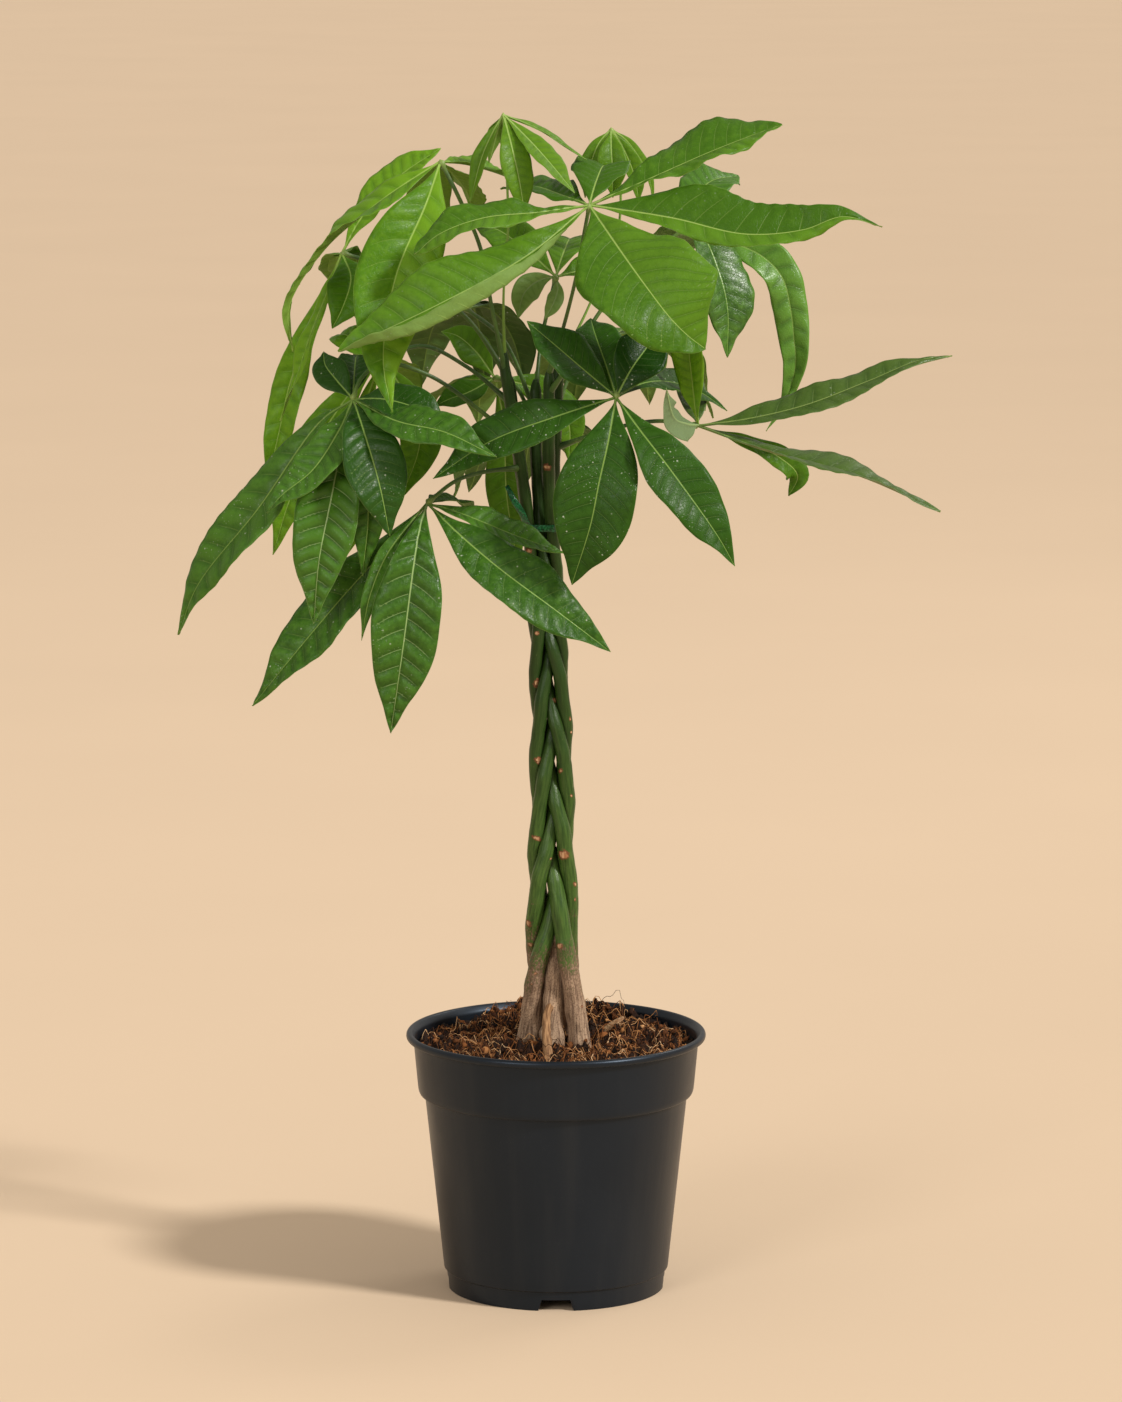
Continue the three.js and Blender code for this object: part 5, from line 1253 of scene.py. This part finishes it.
# each leaf: the trunk and height it leaves at, the way of its stalk, its hub, and its leaflets: width,
# the way the upper face looks, and the points of the rib
leaves = {
    "high_front": {
        "stem": "right", "at": 646, "via": [(6, 680, 22), (14, 712, 36), (20, 745, 47)],
        "hub": (23, 761, 50), "look": "summer", "quilt": 0.75, "wave": 2.2, "ruffle": 0.9,
        "leaflets": [
            blade(44, (0, -0.5, 1), [(60, 777, 48), (105, 797, 38), (138, 810, 28), (155, 816, 22)],
                  widest=0.7, blunt=0.75, uneven=-0.3, halves=0.25),
            blade(42, (0, -1, 0.75), [(80, 752, 66), (130, 741, 78), (170, 744, 80), (197, 753, 80),
                                      (224, 746, 76)],
                  widest=0.4, blunt=1.1, uneven=-0.35, tone=0.35, halves=0.55),
            blade(84, (0.1, -1, 0.35), [(42, 733, 78), (62, 705, 104), (79, 683, 114), (91, 671, 111),
                                        (103, 662, 106)],
                  widest=0.58, blunt=0.78, slant=0.11, uneven=-0.04, tone=0.5, halves=-0.35),
            blade(57, (-0.2, -1, 0.75), [(-20, 726, 84), (-80, 693, 110), (-150, 660, 108)],
                  widest=0.62, blunt=0.85, rolled=(-1, 0.4)),
            blade(32, (-0.2, -0.7, 1), [(-10, 756, 70), (-50, 752, 84), (-80, 741, 92), (-97, 727, 92)],
                  widest=0.68, blunt=0.62, tone=0.5, halves=-0.35),
            blade(36, (0, -0.35, 1), [(6, 767, 28), (-16, 774, -2), (-38, 772, -28)], tone=-0.4),
            blade(40, (0, -0.3, 1), [(28, 778, 28), (33, 788, 4), (38, 780, -20)], tone=-0.4),
        ],
    },
    "high_left": {
        "stem": "left", "at": 640, "via": [(-44, 690, 8), (-52, 732, 12), (-66, 765, 16)],
        "hub": (-79, 791, 16), "look": "fresh", "quilt": 0.9, "wave": 1.6, "ruffle": 0.8,
        "leaflets": [
            blade(38, (-0.3, -1, 0.8), [(-120, 764, 26), (-159, 731, 32), (-184, 690, 34), (-181, 660, 34)],
                  twist=100, widest=0.38, blunt=1.1, halves=0.4),
            blade(55, (0.1, -1, 0.3), [(-89, 762, 38), (-110, 712, 62), (-119, 655, 84), (-113, 618, 98)],
                  widest=0.44, blunt=1.1, tone=0.55, halves=-0.5),
            blade(34, (0, -0.4, 1), [(-60, 789, -14), (-32, 780, -44), (-12, 770, -62)]),
            blade(34, (0.2, -0.6, 1), [(-70, 782, -16), (-60, 768, -50), (-56, 750, -70)]),
            blade(36, (-0.2, -0.2, 1), [(-84, 780, -14), (-86, 752, -40), (-86, 726, -56)]),
        ],
    },
    "young_top": {
        "stem": "left", "at": 656, "via": [(-36, 700, 6), (-33, 745, 14), (-34, 790, 20)],
        "hub": (-36, 823, 22), "look": "young", "quilt": 0.3, "wave": 0.5, "thin": 0.62,
        "leaflets": [
            blade(13, (-0.7, -1, 0.5), [(-49, 798, 24), (-59, 763, 24)], fold=25),
            blade(22, (0.3, -1, 0.3), [(-30, 800, 38), (-25, 777, 44), (-21, 753, 44)]),
            blade(22, (0.6, -0.8, 0.6), [(-16, 803, 36), (0, 785, 50), (13, 769, 56)]),
            blade(14, (0.7, -0.2, 0.9), [(-10, 812, 14), (8, 800, 12), (21, 792, 10)]),
            blade(15, (-0.4, 0.3, 1), [(-40, 812, 0), (-46, 790, -12)]),
            blade(15, (0, 0.8, 1), [(-34, 812, -6), (-30, 790, -24)]),
        ],
    },
    "young_right": {
        "stem": "rear_right", "at": 648, "via": [(22, 690, -24), (42, 740, -38), (44, 780, -43)],
        "hub": (38, 813, -44), "look": "young", "quilt": 0.3, "wave": 0.5, "thin": 0.62,
        "leaflets": [
            blade(15, (-0.6, -1, 0.2), [(29, 802, -40), (23, 785, -38), (20, 766, -36)], fold=22),
            blade(20, (0, -1, 0.3), [(38, 800, -34), (39, 783, -30), (39, 766, -30)], fold=22),
            blade(15, (0.7, -1, 0.3), [(46, 800, -46), (54, 780, -50), (57, 761, -50)], fold=22),
            blade(11, (0.8, -0.6, 0.5), [(50, 803, -58), (63, 782, -68), (67, 761, -70)], fold=22),
            blade(13, (0, 0.8, 0.6), [(36, 802, -66), (32, 780, -78)], fold=22),
        ],
    },
    "right_back": {
        "stem": "rear_right", "at": 636, "via": [(32, 690, -34), (66, 728, -52)],
        "hub": (88, 744, -60), "look": "glossy", "quilt": 0.5, "wave": 2, "ruffle": 1,
        "leaflets": [
            blade(38, (-0.2, -0.9, 0.9), [(92, 762, -76), (106, 777, -98), (125, 781, -124)],
                  widest=0.66, look="mature", tone=1),
            blade(42, (0.5, -0.9, 0.5), [(100, 741, -44), (112, 715, -32), (118, 690, -26),
                                         (118, 656, -24)]),
            # tone=1.5 makes this blade lighter: its own green, and partly a painted highlight of its gloss
            blade(27, (0.5, -1, 0.6), [(138, 728, -51), (155, 712, -47), (161, 692, -45), (164, 668, -44),
                                       (165, 650, -43), (158, 626, -42), (145, 605, -40)],
                  twist=50, widest=0.36, blunt=1, tone=1.5),
            blade(42, (0, -0.2, 1), [(124, 750, -88), (156, 748, -116), (180, 742, -132)]),
            blade(36, (0, 0.2, 1), [(84, 742, -92), (78, 726, -128), (74, 700, -140)]),
        ],
    },
    "front": {
        "stem": "right", "at": 632, "via": [(14, 654, 26), (32, 652, 52), (42, 640, 74)],
        "hub": (41.5, 628.5, 84), "look": "dark", "quilt": 0.3, "wave": 1.3,
        "leaflets": [
            blade(36, (0.2, -1, 0.9), [(22, 645, 90), (0, 664, 92), (-20, 681, 86)]),
            blade(36, (0, -0.7, 1), [(34, 652, 72), (27, 672, 54), (24, 683, 36)]),
            blade(36, (0.3, -0.9, 0.8), [(52, 648, 80), (62, 662, 70), (74, 678, 58)], tone=-0.4),
            blade(28, (0.2, -0.9, 0.9), [(60, 638, 58), (84, 638, 8), (103, 630, -18), (118, 619, -28)]),
            blade(40, (0.4, -1, 0.2), [(57, 607, 100), (80, 577, 118), (112, 532, 124), (124, 511, 122)]),
            blade(56, (-0.1, -1, 0.15), [(36, 597, 104), (30, 570, 114), (24, 540, 116), (11, 498, 108)]),
            blade(38, (-0.2, -1, 0.8), [(0, 615, 94), (-45, 598, 86), (-85, 572, 78)], tone=0.7),
        ],
    },
    "right": {
        "stem": "rear_right", "at": 592, "via": [(36, 606, -10), (70, 612, 6)],
        "hub": (98, 609, 20), "look": "olive", "quilt": 0.5, "wave": 1.5,
        "leaflets": [
            blade(31, (0, -0.5, 1), [(130, 613, 24), (172, 623, 22), (216, 640, 12), (250, 654, 2),
                                     (273, 657, -6)],
                  widest=0.38, blunt=1.05),
            blade(40, (0.2, -0.15, 1), [(145, 592, 34), (210, 574, 46), (266, 549, 50)]),
            blade(18, (-0.2, -0.9, 0.6), [(130, 598, 10), (154, 587, 4), (167, 574, -2), (161, 560, -6)],
                  widest=0.8, look="summer"),
            blade(27, (-0.4, 1, -0.6), [(90, 610, 40), (81, 615, 62), (76, 635, 78)],
                  widest=0.45, blunt=1.3, look="pale", tone=-1),
            blade(24, (-0.5, -1, 0.1), [(95, 632, 34), (91, 668, 38), (88, 696, 34)],
                  fold=24, widest=0.6, look="fresh"),
            blade(22, (0.1, -0.2, 1), [(95, 622, -14), (91, 640, -44), (90, 636, -76)]),
        ],
    },
    "left": {
        "stem": "left", "at": 598, "via": [(-52, 619, 16), (-86, 643, 26), (-118, 652, 34), (-134, 642, 48)],
        "hub": (-140, 627, 56), "look": "mature", "quilt": 0.85, "wave": 1.4,
        "leaflets": [
            blade(24, (-0.5, -0.5, 1), [(-151, 640, 46), (-159, 651, 34), (-160, 660, 24)], tone=-0.7),
            blade(26, (0, -0.5, 1), [(-139, 644, 36), (-138, 655, 16), (-137, 657, -6)], tone=-0.8),
            blade(32, (0.2, -1, 0.9), [(-118, 627, 68), (-94, 620, 76), (-74, 607, 78)], tone=-0.6),
            blade(34, (0.2, -1, 1), [(-110, 612, 88), (-76, 604, 106), (-41, 587, 114)]),
            blade(42, (0.2, -1, 0.2), [(-133, 606, 82), (-122, 568, 98), (-115, 532, 98)], tone=-0.5),
            blade(42, (-0.3, -0.8, 0.9), [(-162, 612, 64), (-206, 551, 70), (-248, 498, 62),
                                          (-262, 463, 54)]),
            blade(34, (-0.3, -0.8, 0.8), [(-150, 605, 76), (-168, 578, 88), (-190, 560, 92),
                                          (-200, 548, 92)]),
            blade(44, (-0.2, -1, 0.1), [(-147, 600, 68), (-155, 560, 86), (-164, 515, 94), (-168, 471, 92)],
                  quilt=1.7, look="ribbed"),
            blade(26, (0.1, -1, 0), [(-137, 595, 62), (-130, 552, 74), (-134, 504, 76)]),
        ],
    },
    "low_left": {
        "stem": "left", "at": 580, "via": [(-48, 577, 22), (-70, 570, 44)],
        "hub": (-89, 555, 60), "look": "mature", "quilt": 0.9, "wave": 1.5,
        "leaflets": [
            blade(44, (-0.4, -0.9, 0.8), [(-110, 531, 64), (-150, 487, 68), (-195, 433, 66),
                                          (-211, 413, 62)]),
            blade(47, (0, -1, 0.15), [(-94, 538, 78), (-98, 515, 90), (-106, 455, 96), (-115, 394, 88)],
                  quilt=1.7, look="ribbed"),
            blade(13, (-0.3, -1, 0.3), [(-99, 543, 70), (-117, 519, 82), (-129, 490, 90), (-135, 459, 88)]),
            blade(44, (0.25, -1, 0.6), [(-70, 536, 78), (-40, 510, 94), (0, 480, 102), (38, 451, 98)]),
            blade(32, (0.2, -0.55, 1), [(-64, 547, 62), (-32, 534, 62), (6, 520, 54)]),
            blade(24, (0, -0.4, 1), [(-80, 557, 38), (-66, 556, 14), (-58, 548, -4)]),
        ],
    },
    "outer_left": {
        "stem": "rear_left", "at": 640, "via": [(-62, 684, -26), (-104, 714, -26)],
        "hub": (-147, 728, -22), "look": "fresh", "quilt": 0.9, "wave": 1.8,
        "leaflets": [
            blade(15, (-0.6, -0.8, 0.4), [(-156, 704, -8), (-168, 674, -2), (-178, 645, -2),
                                          (-190, 612, -4)],
                  fold=20, twist=30, tone=1.2),
            blade(24, (-0.3, -1, 0.1), [(-158, 702, -34), (-173, 668, -46), (-184, 636, -52),
                                        (-191, 605, -52), (-200, 566, -50)],
                  widest=0.68),
            blade(30, (0.1, -1, 0.6), [(-141, 710, -2), (-147, 690, 8), (-154, 676, 10)], tone=-0.6),
            blade(32, (-0.3, -0.8, 1), [(-132, 754, -34), (-108, 780, -40), (-79, 800, -44)], widest=0.62),
            blade(32, (-0.3, 0, 1), [(-148, 726, -56), (-147, 716, -84), (-145, 700, -110)]),
            blade(34, (0, 0.4, 1), [(-142, 722, -58), (-138, 706, -90), (-136, 680, -104)]),
        ],
    },
    "mid_left": {
        "stem": "rear_left", "at": 622, "via": [(-62, 650, -22), (-92, 664, -20)],
        "hub": (-120, 655, -16), "look": "fresh", "quilt": 0.7, "wave": 1.4,
        "leaflets": [
            blade(32, (-0.2, -1, 0.3), [(-143, 630, -14), (-163, 600, -12), (-183, 560, -10),
                                        (-196, 519, -10)]),
            blade(28, (0.1, -1, 0), [(-132, 620, -28), (-138, 560, -34), (-154, 503, -34)]),
            blade(30, (0.2, -1, 0.4), [(-106, 634, -6), (-94, 600, 2), (-107, 558, 4)]),
            blade(28, (-0.2, -0.5, 1), [(-134, 664, -30), (-146, 672, -44), (-152, 668, -60)]),
            blade(32, (0, 0.3, 1), [(-114, 652, -52), (-106, 636, -84), (-102, 606, -98)]),
        ],
    },
    "inner_low": {
        "stem": "middle", "at": 606, "via": [(-28, 636, -34)],
        "hub": (-42, 642, -48), "look": "summer", "quilt": 0.5, "wave": 1.2,
        "leaflets": [
            blade(28, (0, -1, 0.1), [(-36, 612, -54), (-34, 560, -60), (-25, 505, -58)]),
            blade(24, (-0.2, -1, 0.7), [(-55, 660, -46), (-68, 671, -46), (-79, 674, -46)]),
            # tone -0.6 paints this leaflet darker: painted shade inside the crown
            blade(26, (-0.2, -0.8, 1), [(-60, 632, -38), (-74, 627, -36), (-84, 622, -36)], tone=-0.6),
            blade(28, (0.2, -1, 0.4), [(-14, 634, -58), (8, 612, -64), (9, 584, -64)]),
            blade(30, (0, 0.4, 1), [(-46, 640, -76), (-52, 630, -96), (-54, 610, -104)]),
            blade(28, (-0.3, 0, 1), [(-64, 640, -72), (-84, 626, -88), (-92, 600, -92)]),
        ],
    },
    "inner_high": {
        "stem": "middle", "at": 628, "via": [(-10, 668, -40)],
        "hub": (0, 712, -50), "look": "summer", "quilt": 0.5, "wave": 1.2,
        "leaflets": [
            # painted light: these two small leaflets are made pale and light though they lie in the shade of
            # the leaf above
            blade(19, (0.1, -1, 0.2), [(-12, 709, -44), (-22, 700, -38), (-26, 683, -34)],
                  look="pale", tone=1.3),
            blade(34, (-0.2, -0.7, 1), [(-18, 728, -60), (-40, 744, -72), (-58, 748, -84)]),
            blade(12, (0.3, -1, 0.2), [(1, 702, -46), (-2, 693, -42), (-8, 682, -40)],
                  look="pale", tone=1.3),
            blade(34, (0, 0, 1), [(6, 730, -76), (10, 738, -104), (12, 728, -130)]),
            blade(36, (0.4, -0.4, 1), [(26, 716, -72), (50, 706, -86), (66, 690, -92)]),
        ],
    },
    "rear_right": {
        "stem": "rear_right", "at": 616, "via": [(14, 652, -54)],
        "hub": (40, 672, -92), "look": "summer", "quilt": 0.6, "wave": 1.8,
        "fan": {"heading": 76, "open": 130, "reach": 116, "droop": 64, "width": 44, "count": 5},
    },
    "rear_left": {
        "stem": "middle", "at": 616, "via": [(-36, 668, -58)],
        # the dark look here is painted shade at the back of the crown
        "hub": (-62, 690, -92), "look": "dark", "quilt": 0.6, "wave": 1.8,
        "fan": {"heading": 121, "open": 128, "reach": 126, "droop": 70, "width": 44, "count": 6},
    },
    "rear_low": {
        "stem": "middle", "at": 576, "via": [(-14, 596, -60)],
        # the dark look here is painted shade at the back of the crown
        "hub": (-8, 606, -106), "look": "dark", "quilt": 0.6, "wave": 1.6,
        "fan": {"heading": 98, "open": 116, "reach": 116, "droop": 56, "width": 44, "count": 5},
    },
}

skins = {kind: leafSkin(kind, look) for kind, look in leafLooks.items()}
stalk = stalkSkin()
for order, (name, leaf) in enumerate(leaves.items()):
    makeLeaf(name, leaf, order, skins, stalk)
print("leaves")
